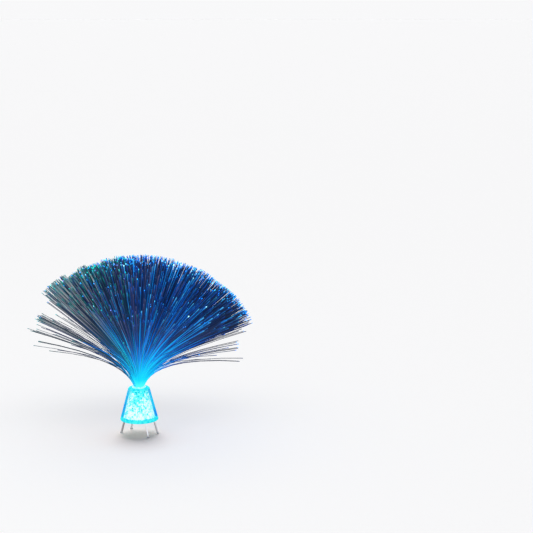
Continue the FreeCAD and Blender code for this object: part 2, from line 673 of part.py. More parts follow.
def splinter(centre, reach):
    spin = FreeCAD.Rotation(draw.uniform(0, 360), draw.uniform(0, 180), draw.uniform(0, 360))
    ends = []
    for side in ((1, 0, 0), (0, 1, 0), (0, 0, 1)):
        along = spin.multVec(FreeCAD.Vector(*side))
        ends.append([centre + along * (reach * draw.uniform(CHIP_SLIMMEST, 1.0) * sign) for sign in (1, -1)])
    faces = []
    for first in ends[0]:
        for second in ends[1]:
            for third in ends[2]:
                faces.append(Part.Face(Part.makePolygon([first, second, third, first])))
    solid = Part.Solid(Part.Shell(faces))
    if solid.Volume < 0:
        solid.reverse()
    return solid


def free_place(place, reach):
    """Whether a ball here stays clear of the leg sockets, the screw bosses, the switch and its wires."""
    lowest = place.z - reach
    socket_lean = SIZES["socket_radius"] * math.sin(math.radians(SIZES["leg_splay"]))
    posts = [(leg_point(along, str(place.z)), SIZES["socket_radius"], SIZES["socket_top"] + socket_lean)
             for along in LEGS.values()]
    boss_top = size(PLATE_TOP) + SIZES["boss_height"]
    posts += [(polar(SIZES["screw_circle"], along, place.z), SIZES["boss_radius"], boss_top)
              for along in (0, 180)]
    for axis, radius, top in posts:
        if lowest < top + chip_air and axis.distanceToPoint(place) < radius + reach + chip_air:
            return False
    beside_switch = abs(place.x) < SIZES["switch_length"] / 2 + SIZES["switch_room"] + reach
    over_wires = lowest > high_exit + wire_reach + chip_air
    return over_wires or not (beside_switch and place.y > SIZES["wire_room"])


def chips():
    """Rows of chips against the wall, and a second ring inside each row that has room for one."""
    outer, inner = [], []
    lean = math.cos(math.atan(size(CONE_SLOPE)))
    lowest = size(f"{PLATE_TOP} + first_row")
    rows = int((size(f"{shell_top_inside} - last_row") - lowest) / SIZES["row_pitch"]) + 1
    for row in range(rows):
        height = lowest + row * SIZES["row_pitch"]
        wall_at = size(cone_inside(str(height)))
        core = SIZES["tube_radius"] if height < SIZES["tube_top"] + chip_reach else SIZES["lip_radius"]
        reach = min(chip_reach, (wall_at - core) * lean / 2 - chip_air / 2)
        radius = wall_at - (reach + chip_air / 2) / lean
        rings = [(outer, radius)]
        inside = radius - 2 * reach - chip_air
        if inside > SIZES["tube_radius"] + reach and height > high_exit + wire_reach + reach:
            rings.append((inner, inside))
        for ring, ring_radius in rings:
            count = int(2 * math.pi * ring_radius / (2 * reach + chip_air))
            for number in range(count):
                place = polar(ring_radius, 360 * (number + 0.5 * (row % 2)) / count, height)
                if free_place(place, reach):
                    ring.append(splinter(place, reach))
    return outer, inner


outer_chips, inner_chips = chips()
shaped("crystals", outer_chips, turned_under=True)
shaped("crystal_filling", inner_chips, turned_under=True)


# ---- collar: a clear ring that turns in the cone's top, sprung in past four slits ----------

lip_top = f"({shell_top_inside} - gap)"
lip_floor = f"({shell_top_inside} - gap - lip_height)"
flange_floor = f"({CONE_TOP} + gap)"
flange_top = f"({CONE_TOP} + gap + flange_thickness)"
collar = new_body()
turned(collar, [
    ("collar_bore", lip_floor), ("lip_radius", lip_floor), ("lip_radius", lip_top),
    ("neck_radius", lip_top), ("neck_radius", flange_floor), ("flange_radius", flange_floor),
    ("flange_radius", flange_top), ("collar_bore", flange_top)])
slit_side = rectangle("-lip_radius - past", "-slit_width / 2", "lip_radius + past", "slit_width / 2")
slit = pocket(collar, outline(collar, slit_side, lift=lip_floor), "lip_height + wall / 2")
around(collar, [slit], 2)
keep(collar, "collar_ring")


# ---- spray: the ferrule, the potted root and the fibres ------------------------------------------

bead_floor = f"({flange_top} + gap)"
bead_top = f"({flange_top} + gap + bead_height)"
turned_piece("ferrule", [
    ("ferrule_bore", "ferrule_floor"), ("collar_bore - gap", "ferrule_floor"),
    ("collar_bore - gap", bead_floor), ("bead_radius", bead_floor), ("bead_radius", bead_top),
    ("ferrule_bore", bead_top)])
turned_piece("fibre_root", [("0", "ferrule_floor"), ("ferrule_bore - slip", "ferrule_floor"),
                            ("ferrule_bore - slip", bead_top), ("0", bead_top)])

DOME_FIBRES = 160
STRAY_FIBRES = 30
GOLDEN_ANGLE = 137.508
DOME_SKEW = 0.165
STRAY_LENGTHS = (0.82, 0.92)
ROOT_LEAN = 0.27
LENGTH_SPREAD = 0.02
LEAN_SPREAD = 1.2
TURN_SPREAD = 1.5


def dome_lean(share, azimuth):
    """How far a dome fibre leans at its tip, in degrees, from its share of the way out of the bundle.

    The tips cover a ball's cap evenly, and the cap reaches further down on the +X side."""
    cap = 1 - math.cos(math.radians(SIZES["dome_edge"]))
    return math.degrees(math.acos(1 - cap * share)) * (1 + DOME_SKEW * math.cos(math.radians(azimuth)))


def stray_lean(share, azimuth):
    """How far a stray leans: from just under the dome's edge down to nearly level, left and right."""
    side = math.cos(math.radians(azimuth))
    first = dome_lean(1, azimuth) + SIZES["stray_gap"]
    last = SIZES["stray_lowest"] + SIZES["stray_sideways"] * abs(side) ** 1.5 + SIZES["stray_skew"] * side
    return first + (last - first) * share ** 0.8


def fibre_path(start, azimuth, lean, droop, length, stations):
    """The line of a fibre in its upright plane: its lean grows from the root, settles, and may droop."""
    points = [FreeCAD.Vector(start)]
    place = FreeCAD.Vector(start)
    along = 0.0
    for station in stations:
        steps = max(1, round((station * length - along) / SIZES["path_step"]))
        step = (station * length - along) / steps
        for _ in range(steps):
            along += step
            settled = 1 - (1 - ROOT_LEAN) * math.exp(-(along - step / 2) / SIZES["bend_length"])
            now = math.radians(lean * settled + droop * (along / length) ** 2)
            place += polar(step * math.sin(now), azimuth, step * math.cos(now))
        points.append(FreeCAD.Vector(place))
    return points


def fibres():
    """The fibres by zone, set in the root like the seeds of a sunflower."""
    sway = random.Random(16)
    zones = {"fibres_crown": [], "fibres_shoulder": [], "fibres_skirt": [], "stray_fibres": []}
    stations = {"fibres_crown": (0.24, 1), "fibres_shoulder": (0.14, 0.4, 1),
                "fibres_skirt": (0.12, 0.36, 1), "stray_fibres": (0.14, 0.34, 0.65, 1)}
    for number in range(DOME_FIBRES + STRAY_FIBRES):
        seat = (number + 0.5) / (DOME_FIBRES + STRAY_FIBRES)
        azimuth = number * GOLDEN_ANGLE
        start = polar(SIZES["bundle_radius"] * math.sqrt(seat), azimuth, size(bead_top))
        length = SIZES["fibre_length"] * (1 + sway.uniform(-LENGTH_SPREAD, LENGTH_SPREAD))
        droop = 0.0
        if number < DOME_FIBRES:
            lean = dome_lean((number + 0.5) / DOME_FIBRES, azimuth)
            zone = "fibres_crown" if lean < SIZES["crown_edge"] else "fibres_skirt"
            if SIZES["crown_edge"] <= lean < SIZES["shoulder_edge"]:
                zone = "fibres_shoulder"
        else:
            share = (number - DOME_FIBRES + 0.5) / STRAY_FIBRES
            lean = stray_lean(share, azimuth)
            droop = SIZES["stray_droop"] * share
            length *= sway.uniform(*STRAY_LENGTHS)
            zone = "stray_fibres"
        lean += sway.uniform(-LEAN_SPREAD, LEAN_SPREAD)
        azimuth += sway.uniform(-TURN_SPREAD, TURN_SPREAD)
        path = fibre_path(start, azimuth, lean, droop, length, stations[zone])
        zones[zone].append(straight_runs(path, SIZES["fibre_reach"], 3, 30, level_foot=True))
    return zones


for name, solids in fibres().items():
    shaped(name, solids)


# ---- check every piece and write it --------------------------------------------------------------

doc.recompute()
broken = [thing.Name for thing in doc.Objects if {"Invalid", "Error"} & set(thing.State)]
if broken:
    raise RuntimeError(f"objects that failed: {broken}")
os.makedirs("parts", exist_ok=True)
for piece in pieces:
    if piece.Shape.isNull() or not piece.Shape.isValid():
        raise RuntimeError(f"{piece.Label} has no valid shape")
    piece.Shape.exportStep(f"parts/{piece.Label}.step")
    print(f"{piece.Label}: {len(piece.Shape.Solids)} solids, {piece.Shape.Volume:.0f} mm3")
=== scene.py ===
# %% [markdown]
# # A lamp of light fibres
#
# The lamp is a clear cone full of crystal chips on four thin steel legs. A spray of plastic light fibres
# grows out of its top. Its construction is already packed: every piece is there at its true size, as plain
# triangles. The first cell loads it.

# %% Load the imported lamp
import math
import random

import bmesh
import bpy
import numpy as np
from mathutils import Matrix, Vector


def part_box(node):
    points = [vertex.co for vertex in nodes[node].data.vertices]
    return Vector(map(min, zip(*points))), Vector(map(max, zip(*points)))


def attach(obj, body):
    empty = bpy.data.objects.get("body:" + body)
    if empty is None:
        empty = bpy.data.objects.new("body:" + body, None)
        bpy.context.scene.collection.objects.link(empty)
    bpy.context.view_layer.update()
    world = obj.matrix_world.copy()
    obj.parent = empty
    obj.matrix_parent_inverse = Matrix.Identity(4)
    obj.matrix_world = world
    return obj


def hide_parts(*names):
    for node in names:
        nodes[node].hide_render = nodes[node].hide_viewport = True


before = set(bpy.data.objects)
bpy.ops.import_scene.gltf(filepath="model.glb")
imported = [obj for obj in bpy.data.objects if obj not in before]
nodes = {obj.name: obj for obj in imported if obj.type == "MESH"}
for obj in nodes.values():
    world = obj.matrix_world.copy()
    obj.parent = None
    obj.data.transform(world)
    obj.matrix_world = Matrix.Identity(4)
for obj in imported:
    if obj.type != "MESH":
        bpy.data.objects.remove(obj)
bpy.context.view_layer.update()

MM = 0.001

# %% [markdown]
# ## The camera
#
# The camera looks slightly down on the lamp, which stands in the lower left of the picture. A long lens
# keeps the thin fibres straight. Its place is worked out from four facts: how steeply it looks down at the
# cone's rim, how many metres a pixel of the picture spans there, the lens, and the pixel where the rim's
# middle shows. Turning the camera, and not shifting its lens, keeps the lamp whole in every other view.

# %% Camera
PICTURE_PIXELS = 533
RIM_PIXEL = (139.4, 418.0)
RIM_HEIGHT = 30 * MM
PIXEL_SPAN = 1.9 * MM
LOOK_DOWN = math.radians(16)
LENS_MM = 100
SENSOR_MM = 36


def aimed_camera():
    """A camera without roll that sees the rim's middle from this slope at this pixel."""
    focal = LENS_MM / SENSOR_MM * PICTURE_PIXELS
    ray = Vector((RIM_PIXEL[0] - PICTURE_PIXELS / 2, PICTURE_PIXELS / 2 - RIM_PIXEL[1], focal)).normalized()
    lean = math.acos(-math.sin(LOOK_DOWN) / math.hypot(ray.y, ray.z)) - math.atan2(ray.z, ray.y)
    level = ray.y * math.sin(lean) + ray.z * math.cos(lean)
    turn = math.atan2(ray.x, level)
    rim = Vector((0, 0, RIM_HEIGHT))
    sight = Vector((0, math.cos(LOOK_DOWN), -math.sin(LOOK_DOWN)))
    bpy.ops.object.camera_add(location=rim - sight * (focal * PIXEL_SPAN),
                              rotation=(math.pi / 2 - lean, 0, turn))
    camera = bpy.context.object
    camera.data.lens = LENS_MM
    camera.data.sensor_width = SENSOR_MM
    camera.data.clip_start = 0.1
    camera.data.clip_end = 100
    return camera


bpy.context.scene.camera = aimed_camera()
print("camera at", tuple(round(side, 3) for side in bpy.context.scene.camera.location))

# %% [markdown]
# ## Tools for modelling
#
# Everything below is modelled the way it is done by hand: add a primitive, go into edit mode, select faces
# or edges by their place, and use an operator on them. These few helpers keep that short. `turned` draws an
# outline point by point and spins it round the Z axis, as on a lathe. `cross_cut` takes two crossed bars out
# of a turned form. `copies` takes one modelled shape and plants it many times in a single mesh, each copy
# with its own points.

# %% Helpers: select, edit, finish
def only(piece):
    """Make one object the only one that is selected, and the active one."""
    bpy.ops.object.select_all(action="DESELECT")
    piece.select_set(True)
    bpy.context.view_layer.objects.active = piece
    return piece


def pick(kind, test):
    """In edit mode, select the faces, edges or verts whose middle passes a test."""
    bpy.ops.mesh.select_mode(type={"faces": "FACE", "edges": "EDGE", "verts": "VERT"}[kind])
    bpy.ops.mesh.select_all(action="DESELECT")
    mesh = bpy.context.object.data
    form = bmesh.from_edit_mesh(mesh)
    for part in getattr(form, kind):
        corners = [part.co] if kind == "verts" else [vert.co for vert in part.verts]
        part.select = bool(test(sum(corners, Vector()) / len(corners)))
    form.select_flush_mode()
    bmesh.update_edit_mesh(mesh)


def settled(piece, name):
    """Put a finished object's place, turn and size into its mesh, and name both."""
    only(piece)
    bpy.ops.object.transform_apply(location=True, rotation=True, scale=True)
    piece.name = name
    piece.data.name = name
    return piece


def smooth(piece, degrees=35):
    only(piece)
    bpy.ops.object.shade_smooth_by_angle(angle=math.radians(degrees))
    return piece


def apply_all(piece):
    only(piece)
    for modifier in list(piece.modifiers):
        bpy.ops.object.modifier_apply(modifier=modifier.name)
    return piece


def joined(pieces):
    """Join finished objects into the first one."""
    only(pieces[0])
    for piece in pieces[1:]:
        piece.select_set(True)
    bpy.ops.object.join()
    return pieces[0]


def placed(piece, body, slot, material, *replaced):
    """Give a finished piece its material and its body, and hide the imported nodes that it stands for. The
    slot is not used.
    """
    if material is not None:
        piece.data.materials.clear()
        piece.data.materials.append(material)
    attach(piece, body)
    if replaced:
        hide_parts(*replaced)
    print(f"{piece.name}: {len(piece.data.polygons)} faces")
    return piece


# %% Helpers: turned forms and planted copies
def arc(centre, radius, low, high, steps=6):
    """Points on an arc of an outline, between two angles in degrees."""
    angles = [math.radians(low + (high - low) * step / steps) for step in range(steps + 1)]
    return [(centre[0] + radius * math.cos(angle), centre[1] + radius * math.sin(angle)) for angle in angles]


def turned(name, outline, steps=96):
    """Spin a closed outline of (radius, height) points, in millimetres, round the Z axis."""
    points = [Vector((radius * MM, 0, height * MM)) for radius, height in outline]
    bpy.ops.mesh.primitive_plane_add(size=MM, location=points[0])
    piece = bpy.context.object
    settled(piece, name)
    bpy.ops.object.mode_set(mode="EDIT")
    bpy.ops.mesh.select_mode(type="VERT")
    bpy.ops.mesh.select_all(action="SELECT")
    bpy.ops.mesh.merge(type="CENTER")
    for before, after in zip(points, points[1:] + points[:1]):
        bpy.ops.mesh.extrude_region_move(TRANSFORM_OT_translate={"value": after - before})
    bpy.ops.mesh.select_all(action="SELECT")
    bpy.ops.mesh.remove_doubles(threshold=0.002 * MM)
    bpy.ops.mesh.spin(steps=steps, angle=math.tau, center=(0, 0, 0), axis=(0, 0, 1))
    bpy.ops.mesh.select_all(action="SELECT")
    bpy.ops.mesh.remove_doubles(threshold=0.002 * MM)
    bpy.ops.mesh.normals_make_consistent(inside=False)
    bpy.ops.object.mode_set(mode="OBJECT")
    return smooth(piece)


def cross_cut(piece, height, sides):
    """Cut two crossed bars out of a piece. Their middle's height and their sides are in millimetres."""
    for turn in (0, math.pi / 2):
        bpy.ops.mesh.primitive_cube_add(size=1, location=(0, 0, height * MM), rotation=(0, 0, turn))
        bar = bpy.context.object
        bar.scale = [side * MM for side in sides]
        settled(bar, "bar")
        cut = piece.modifiers.new("cut", "BOOLEAN")
        cut.object = bar
        cut.operation = "DIFFERENCE"
        apply_all(piece)
        bpy.data.objects.remove(bar)


def copies(name, master, shapes):
    """One mesh of many copies of a modelled shape. shapes holds each copy's points, in the master's order."""
    faces = [tuple(face.vertices) for face in master.data.polygons]
    count = len(master.data.vertices)
    mesh = bpy.data.meshes.new(name)
    mesh.from_pydata(np.concatenate(shapes).tolist(), [],
                     [[corner + number * count for corner in face]
                      for number in range(len(shapes)) for face in faces])
    piece = bpy.data.objects.new(name, mesh)
    bpy.context.collection.objects.link(piece)
    return piece


def points_of(piece):
    return np.array([vert.co for vert in piece.data.vertices])


# %% [markdown]
# ## Tools for materials
#
# A material is a small graph, and so is the world. `shader_node` adds one node and sets or links its inputs
# by name, `reckon` is a sum, and `colour_steps` is a ramp. `paint` links the result to the main shader. All
# patterns read the piece's own coordinates, so they stay on it when it moves.

# %% Helpers: shader graphs
def main_shader(material):
    return material.node_tree.nodes["Principled BSDF"]


def new_finish(name, **values):
    """A material whose main shader has these plain values."""
    material = bpy.data.materials.new(name)
    material.use_nodes = True
    for socket, value in values.items():
        main_shader(material).inputs[socket.replace("_", " ")].default_value = value
    return material


def wire(material, value, socket):
    """Link another node's output to a socket, or give the socket a plain value."""
    if isinstance(value, bpy.types.NodeSocket):
        material.node_tree.links.new(value, socket)
    else:
        socket.default_value = value


def paint(material, value, *sockets):
    """Give sockets of the main shader a pattern or a plain value."""
    for socket in sockets:
        wire(material, value, main_shader(material).inputs[socket])


def shader_node(material, kind, settings=None, **inputs):
    """Add a node. Each input is a plain value, or the output of another node."""
    made = material.node_tree.nodes.new("ShaderNode" + kind)
    for name, value in (settings or {}).items():
        setattr(made, name, value)
    for name, value in inputs.items():
        wire(material, value, made.inputs[name.replace("_", " ")])
    return made


def reckon(material, operation, *terms, kind="Math", output="Value"):
    """A math node of one, two or three terms, which are plain values or outputs."""
    made = shader_node(material, kind, {"operation": operation})
    for socket, term in zip(made.inputs, terms):
        wire(material, term, socket)
    return made.outputs[output]


def colour_steps(material, factor, steps, kind="LINEAR"):
    """A colour ramp of (place, colour) steps."""
    made = material.node_tree.nodes.new("ShaderNodeValToRGB")
    ramp = made.color_ramp
    ramp.interpolation = kind
    while len(ramp.elements) > 1:
        ramp.elements.remove(ramp.elements[-1])
    for number, (place, colour) in enumerate(steps):
        element = ramp.elements[0] if number == 0 else ramp.elements.new(place)
        element.position = place
        element.color = (*colour, 1)
    wire(material, factor, made.inputs[0])
    return made.outputs[0]


def mix_colours(material, factor, first, second, blend="MIX"):
    made = shader_node(material, "Mix", {"data_type": "RGBA", "blend_type": blend})
    for number, value in ((0, factor), (6, first), (7, second)):
        wire(material, value, made.inputs[number])
    return made.outputs[2]


def mix_shaders(material, factor, first, second):
    made = shader_node(material, "MixShader", Fac=factor)
    wire(material, first.outputs[0], made.inputs[1])
    wire(material, second.outputs[0], made.inputs[2])
    return made


# %% Helpers: patterns
def own_place(material):
    return shader_node(material, "TexCoord").outputs["Object"]


def own_height(material):
    return shader_node(material, "SeparateXYZ", Vector=own_place(material)).outputs["Z"]


def share_between(material, value, start, end, low=0.0, high=1.0):
    """How far a value has come from start to end, as a number from low to high."""
    return shader_node(material, "MapRange", Value=value, From_Min=start, From_Max=end,
                       To_Min=low, To_Max=high).outputs[0]


def noise(material, scale, detail=3.0):
    place = own_place(material)
    return shader_node(material, "TexNoise", Vector=place, Scale=scale, Detail=detail).outputs[0]


def relief(material, pattern, depth, strength):
    """Raise the surface by a pattern, this many millimetres deep."""
    bump = shader_node(material, "Bump", Strength=strength, Distance=depth * MM, Height=pattern)
    paint(material, bump.outputs[0], "Normal")


def uneven(material, colour, amount, scale, rough, rough_change, depth, grain):
    """Give a plain surface its unevenness: cloudy colour, patchy gloss and a fine relief."""
    clouds = [tuple(min(1, side * part) for side in colour) for part in (1 - amount, 1 + amount)]
    gloss = [(level,) * 3 for level in (rough - rough_change, rough + rough_change)]
    for socket, size, (low, high) in (("Base Color", scale, clouds), ("Roughness", scale * 2.3, gloss)):
        paint(material, colour_steps(material, noise(material, size), [(0.3, low), (0.7, high)]), socket)
    relief(material, noise(material, grain, 5), depth, 0.25)
    return material


# %% [markdown]
# ## Floor and light
#
# The lamp stands in a pale studio. A very wide overhead sun does most of the work. It gives the soft shadow
# under the cone and between the legs, and it lights the whole floor alike, so the floor has one tone right up
# to its far edge. Even light from all round fills in, so that colours render about as they are written, and
# one softbox gives the plastic and the steel their highlights. A faint glow of the floor's own, which only
# the camera, reflections and clear pieces see, lifts it to near white without any more light on the lamp. The
# paper has painted shade in it: a painted shadow in a wide patch behind the lamp and in a small one under it,
# and round it a painted warm tint, which takes back the cyan that the cone casts there.

# %% Floor, world and lamps
FLOOR_RADIUS = 60
PAPER = (0.9, 0.9, 0.91)
FLOOR_LIFT = 0.15
WORLD_LIGHT = 0.28
SUN_LIGHT = 2.12
SUN_SPREAD = math.radians(46)
SUN_TILT = math.radians(-33)
SOFTBOX_PLACE, SOFTBOX_WIDTH, SOFTBOX_WATTS = (-2.5, -1.9, 2.1), 1.2, 7
FAR_SHEEN = 1.034
HORIZON = [(side * (WORLD_LIGHT + SUN_LIGHT * math.cos(SUN_TILT) / math.pi) + FLOOR_LIFT) * FAR_SHEEN
           for side in PAPER]
# Painted shade on the floor: a wide painted shadow behind the lamp, a painted warm tint round it, and a
# small, darker painted shadow under it.
PAINTED_SHADE_PATCHES = [((0, 0.16, 0), (0.18, 0.11, 1), (0.86, 0.86, 0.86)),
           ((0, 0, 0), (0.12, 0.12, 1), (0.99, 0.915, 0.88)),
           ((0, -0.035, 0), (0.05, 0.05, 1), (0.89, 0.82, 0.795))]
PAINTED_SHADE_FADE = 0.7


def seen_paths(owner):
    """1 for what the camera, a reflection or a clear piece shows, and 0 for light that falls on things."""
    path = shader_node(owner, "LightPath").outputs
    shown = reckon(owner, "MAXIMUM", path["Is Camera Ray"], path["Is Glossy Ray"])
    return reckon(owner, "MAXIMUM", shown, path["Is Transmission Ray"])


def painted_shade(material):
    """Painted shade for the floor: white, multiplied by each patch's colour of painted shadow or warm tint,
    which fades out from the patch's middle.
    """
    colour = (1, 1, 1, 1)
    place = own_place(material)
    for middle, size, patch in PAINTED_SHADE_PATCHES:
        offset = reckon(material, "SUBTRACT", place, middle, kind="VectorMath", output="Vector")
        scaled = reckon(material, "DIVIDE", offset, size, kind="VectorMath", output="Vector")
        square = reckon(material, "POWER", reckon(material, "LENGTH", scaled, kind="VectorMath"), 2.0)
        fade = reckon(material, "EXPONENT", reckon(material, "MULTIPLY", square, -PAINTED_SHADE_FADE))
        colour = mix_colours(material, fade, colour, (*patch, 1), "MULTIPLY")
    return colour


def studio_floor():
    bpy.ops.mesh.primitive_circle_add(vertices=96, radius=FLOOR_RADIUS, fill_type="NGON")
    floor = bpy.context.object
    floor.name = "studio_floor"
    paper = new_finish("studio_paper", Roughness=0.9, Specular_IOR_Level=0.1)
    floor_shade = painted_shade(paper)
    for socket, colour in (("Base Color", PAPER), ("Emission Color", (FLOOR_LIFT,) * 3)):
        paint(paper, mix_colours(paper, 1.0, floor_shade, (*colour, 1), "MULTIPLY"), socket)
    paint(paper, seen_paths(paper), "Emission Strength")
    floor.data.materials.append(paper)


def studio_world():
    world = bpy.context.scene.world or bpy.data.worlds.new("studio_world")
    bpy.context.scene.world = world
    world.use_nodes = True
    light = world.node_tree.nodes["Background"]
    light.inputs["Color"].default_value = (1, 1, 1, 1)
    light.inputs["Strength"].default_value = WORLD_LIGHT
    seen = shader_node(world, "Background", Color=(*HORIZON, 1))
    mixed = mix_shaders(world, seen_paths(world), light, seen)
    wire(world, mixed.outputs[0], world.node_tree.nodes["World Output"].inputs["Surface"])


def side_softbox():
    """A square lamp on the left, which faces the cone's top."""
    bpy.ops.object.light_add(type="AREA", location=SOFTBOX_PLACE)
    light = bpy.context.object
    light.name = "softbox_side"
    light.data.size = SOFTBOX_WIDTH
    light.data.energy = SOFTBOX_WATTS
    sight = Vector((0, 0, 0.1)) - light.location
    light.rotation_euler = sight.to_track_quat("-Z", "Y").to_euler()


def overhead_sun():
    bpy.ops.object.light_add(type="SUN", location=(0, 0, 3), rotation=(SUN_TILT, 0, 0))
    sun = bpy.context.object
    sun.name = "overhead_sun"
    sun.data.energy = SUN_LIGHT
    sun.data.angle = SUN_SPREAD


studio_floor()
studio_world()
overhead_sun()
side_softbox()
bpy.context.scene.view_settings.view_transform = "Standard"

# %% [markdown]
# ## Plain finishes
#
# Most of the other pieces are moulded plastic or plated steel. Each finish is a function, so that pieces of
# the same stuff can differ a little in colour and gloss.

# %% Plastics and metals
# Heights between which the white moulding's painted cyan glow comes in.
GLOW_PAINTED_FROM, GLOW_PAINTED_FULLY = 32.4, 33.2


def moulded(name, colour, rough=0.42, glow=None):
    """Moulded plastic with a fine satin grain. glow is the colour of a painted glow, as of light shining
    through it, if any.
    """
    shine = {"Emission_Color": (*glow, 1), "Emission_Strength": 1} if glow else {}
    material = new_finish(name, Specular_IOR_Level=0.45, **shine)
    return uneven(material, colour, 0.05, 55, rough, 0.06, 0.02, 900)


def painted_glow_moulding(name, colour):
    """White moulding with a painted glow: a faint one all over, and a cyan one on its upper side, inside the
    cone, where the lights and the crystals round it would light it.
    """
    faint_painted_glow, lit = (0.0, 0.012, 0.014), (0.25, 0.85, 0.9)
    material = moulded(name, colour, glow=faint_painted_glow)
    inside = share_between(material, own_height(material), GLOW_PAINTED_FROM * MM, GLOW_PAINTED_FULLY * MM)
    paint(material, colour_steps(material, inside, [(0.0, faint_painted_glow), (1.0, lit)]), "Emission Color")
    return material


def plated(name, colour, rough):
    """Plated sheet or rod, with fine drawing marks and patchy gloss."""
    return uneven(new_finish(name, Metallic=1.0), colour, 0.06, 120, rough, 0.08, 0.01, 500)


def silicone():
    material = new_finish("clear_silicone", Transmission_Weight=0.25, IOR=1.41)
    return uneven(material, (0.93, 0.95, 0.97), 0.03, 200, 0.35, 0.08, 0.01, 700)


def circuit():
    """Green solder mask with copper tracks under it."""
    material = new_finish("circuit_board", Specular_IOR_Level=0.6, Roughness=0.3)
    tracks = shader_node(material, "TexBrick", {"offset": 0.3, "squash": 2.0, "squash_frequency": 3},
                         Vector=own_place(material), Scale=260.0, Mortar_Size=0.03, Mortar_Smooth=0.1,
                         Brick_Width=0.9, Row_Height=0.28,
                         Color1=(0.02, 0.16, 0.07, 1), Color2=(0.025, 0.2, 0.09, 1),
                         Mortar=(0.07, 0.33, 0.15, 1))
    paint(material, tracks.outputs["Color"], "Base Color")
    relief(material, tracks.outputs["Fac"], 0.03, 0.3)
    return material


def cell_finish():
    """A battery cell: a printed sleeve in two tones between bare steel ends."""
    material = new_finish("cell_sleeve", Specular_IOR_Level=0.5, Roughness=0.28)
    low, high = (corner.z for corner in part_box("cell_1"))
    along = share_between(material, own_height(material), low, high)
    steel, dark, copper = (0.62, 0.62, 0.6), (0.03, 0.035, 0.045), (0.5, 0.2, 0.06)
    bands = [(0.0, steel), (0.035, dark), (0.27, copper), (0.73, dark), (0.965, steel)]
    paint(material, colour_steps(material, along, bands, "CONSTANT"), "Base Color")
    bare = [(0.0, (1,) * 3), (0.035, (0,) * 3), (0.965, (1,) * 3)]
    paint(material, colour_steps(material, along, bare, "CONSTANT"), "Metallic")
    relief(material, noise(material, 300), 0.02, 0.1)
    return material


def lit_lens():
    """An LED: a milky lens over a bright chip."""
    material = new_finish("led_lens", Roughness=0.15, Emission_Strength=1.5)
    dots = shader_node(material, "TexVoronoi", Vector=own_place(material), Scale=420.0).outputs["Distance"]
    colours = colour_steps(material, dots, [(0.0, (0.75, 1.0, 1.0)), (0.6, (0.12, 0.75, 1.0))])
    paint(material, colours, "Emission Color", "Base Color")
    return material


def sleeve_finish():
    """Wire cover, red on some wires and dark on the others."""
    material = new_finish("wire_cover", Roughness=0.4)
    covers = [(0.0, (0.02, 0.02, 0.02)), (0.5, (0.5, 0.02, 0.015))]
    paint(material, colour_steps(material, noise(material, 30, 0), covers, "CONSTANT"), "Base Color")
    return material


# %% [markdown]
# ## Glow
#
# With the lamp on, light runs through every clear piece. The cone's wall pipes it to its edges: seen flat
# on, the wall is nearly invisible, and seen along it, at the sides and at the foot, it is a solid band of
# saturated cyan. A transparent shader mixed with a glowing one gives that, with the edge-on factor of a
# Layer Weight node and the height above the foot as the mix.

# %% Clear, glowing plastic
EDGE_BLUE, EDGE_CYAN = (0.0, 0.27, 0.84), (0.0, 0.56, 0.9)
RIM_CYAN, RIM_GLINT = (0.0, 0.7, 0.86), (0.06, 0.96, 0.93)
RIM_BAND, TOP_BAND, BAND_WAVES = (7.6, 6.2), (3.4, 2.2), 5
EDGE_BAND = (0.57, 0.65)
WALL_GLOSS = 0.3
# The chips' painted light: paler low down, between these heights.
PAINTED_LIGHT_BAND, PAINTED_LIGHT_CHANGE = (88, 44), (-0.16, 0.2)


def clear_wall():
    """The cone's acrylic wall: clear from the front, glowing where it is seen along its thickness."""
    material = new_finish("clear_wall", Roughness=0.1, Specular_IOR_Level=0.0, Emission_Strength=0.95,
                          Base_Color=(0.02, 0.1, 0.12, 1))
    low, high = (corner.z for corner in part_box("cone_shell"))
    waves = reckon(material, "SUBTRACT", noise(material, 260, 2), 0.5)
    wavy = reckon(material, "MULTIPLY_ADD", waves, BAND_WAVES * MM, own_height(material))
    foot = share_between(material, wavy, *(low + reach * MM for reach in RIM_BAND))
    top = share_between(material, wavy, *(high - reach * MM for reach in TOP_BAND))
    facing = shader_node(material, "LayerWeight", Blend=0.5).outputs["Facing"]
    ends = reckon(material, "MAXIMUM", foot, top)
    glowing = reckon(material, "MAXIMUM", ends, share_between(material, facing, *EDGE_BAND))
    glints = colour_steps(material, noise(material, 190, 2), [(0.4, RIM_CYAN), (0.62, RIM_GLINT)])
    sides = colour_steps(material, noise(material, 38, 1), [(0.36, EDGE_BLUE), (0.6, EDGE_CYAN)])
    paint(material, mix_colours(material, ends, sides, glints), "Emission Color")
    clear = shader_node(material, "BsdfTransparent", Color=(0.93, 1.0, 1.0, 1))
    shine = shader_node(material, "BsdfGlossy", Roughness=0.06, Color=(0.35, 0.9, 1.0, 1))
    gloss = reckon(material, "MULTIPLY", shader_node(material, "Fresnel", IOR=1.4).outputs[0], WALL_GLOSS)
    sheer = mix_shaders(material, gloss, clear, shine)
    whole = mix_shaders(material, glowing, sheer, main_shader(material))
    wire(material, whole.outputs[0], material.node_tree.nodes["Material Output"].inputs["Surface"])
    return material


def lit_ring(name, colour, glow, strength=0.8):
    """Small clear rings at the spray's root: bright all through, with paler glints."""
    material = new_finish(name, Roughness=0.12, Specular_IOR_Level=0.6, Emission_Strength=strength,
                          Base_Color=(*colour, 1))
    pale = tuple(min(1, side * 0.4 + 0.62) for side in glow)
    glints = colour_steps(material, noise(material, 260, 3), [(0.38, glow), (0.62, pale)])
    paint(material, glints, "Emission Color")
    return material


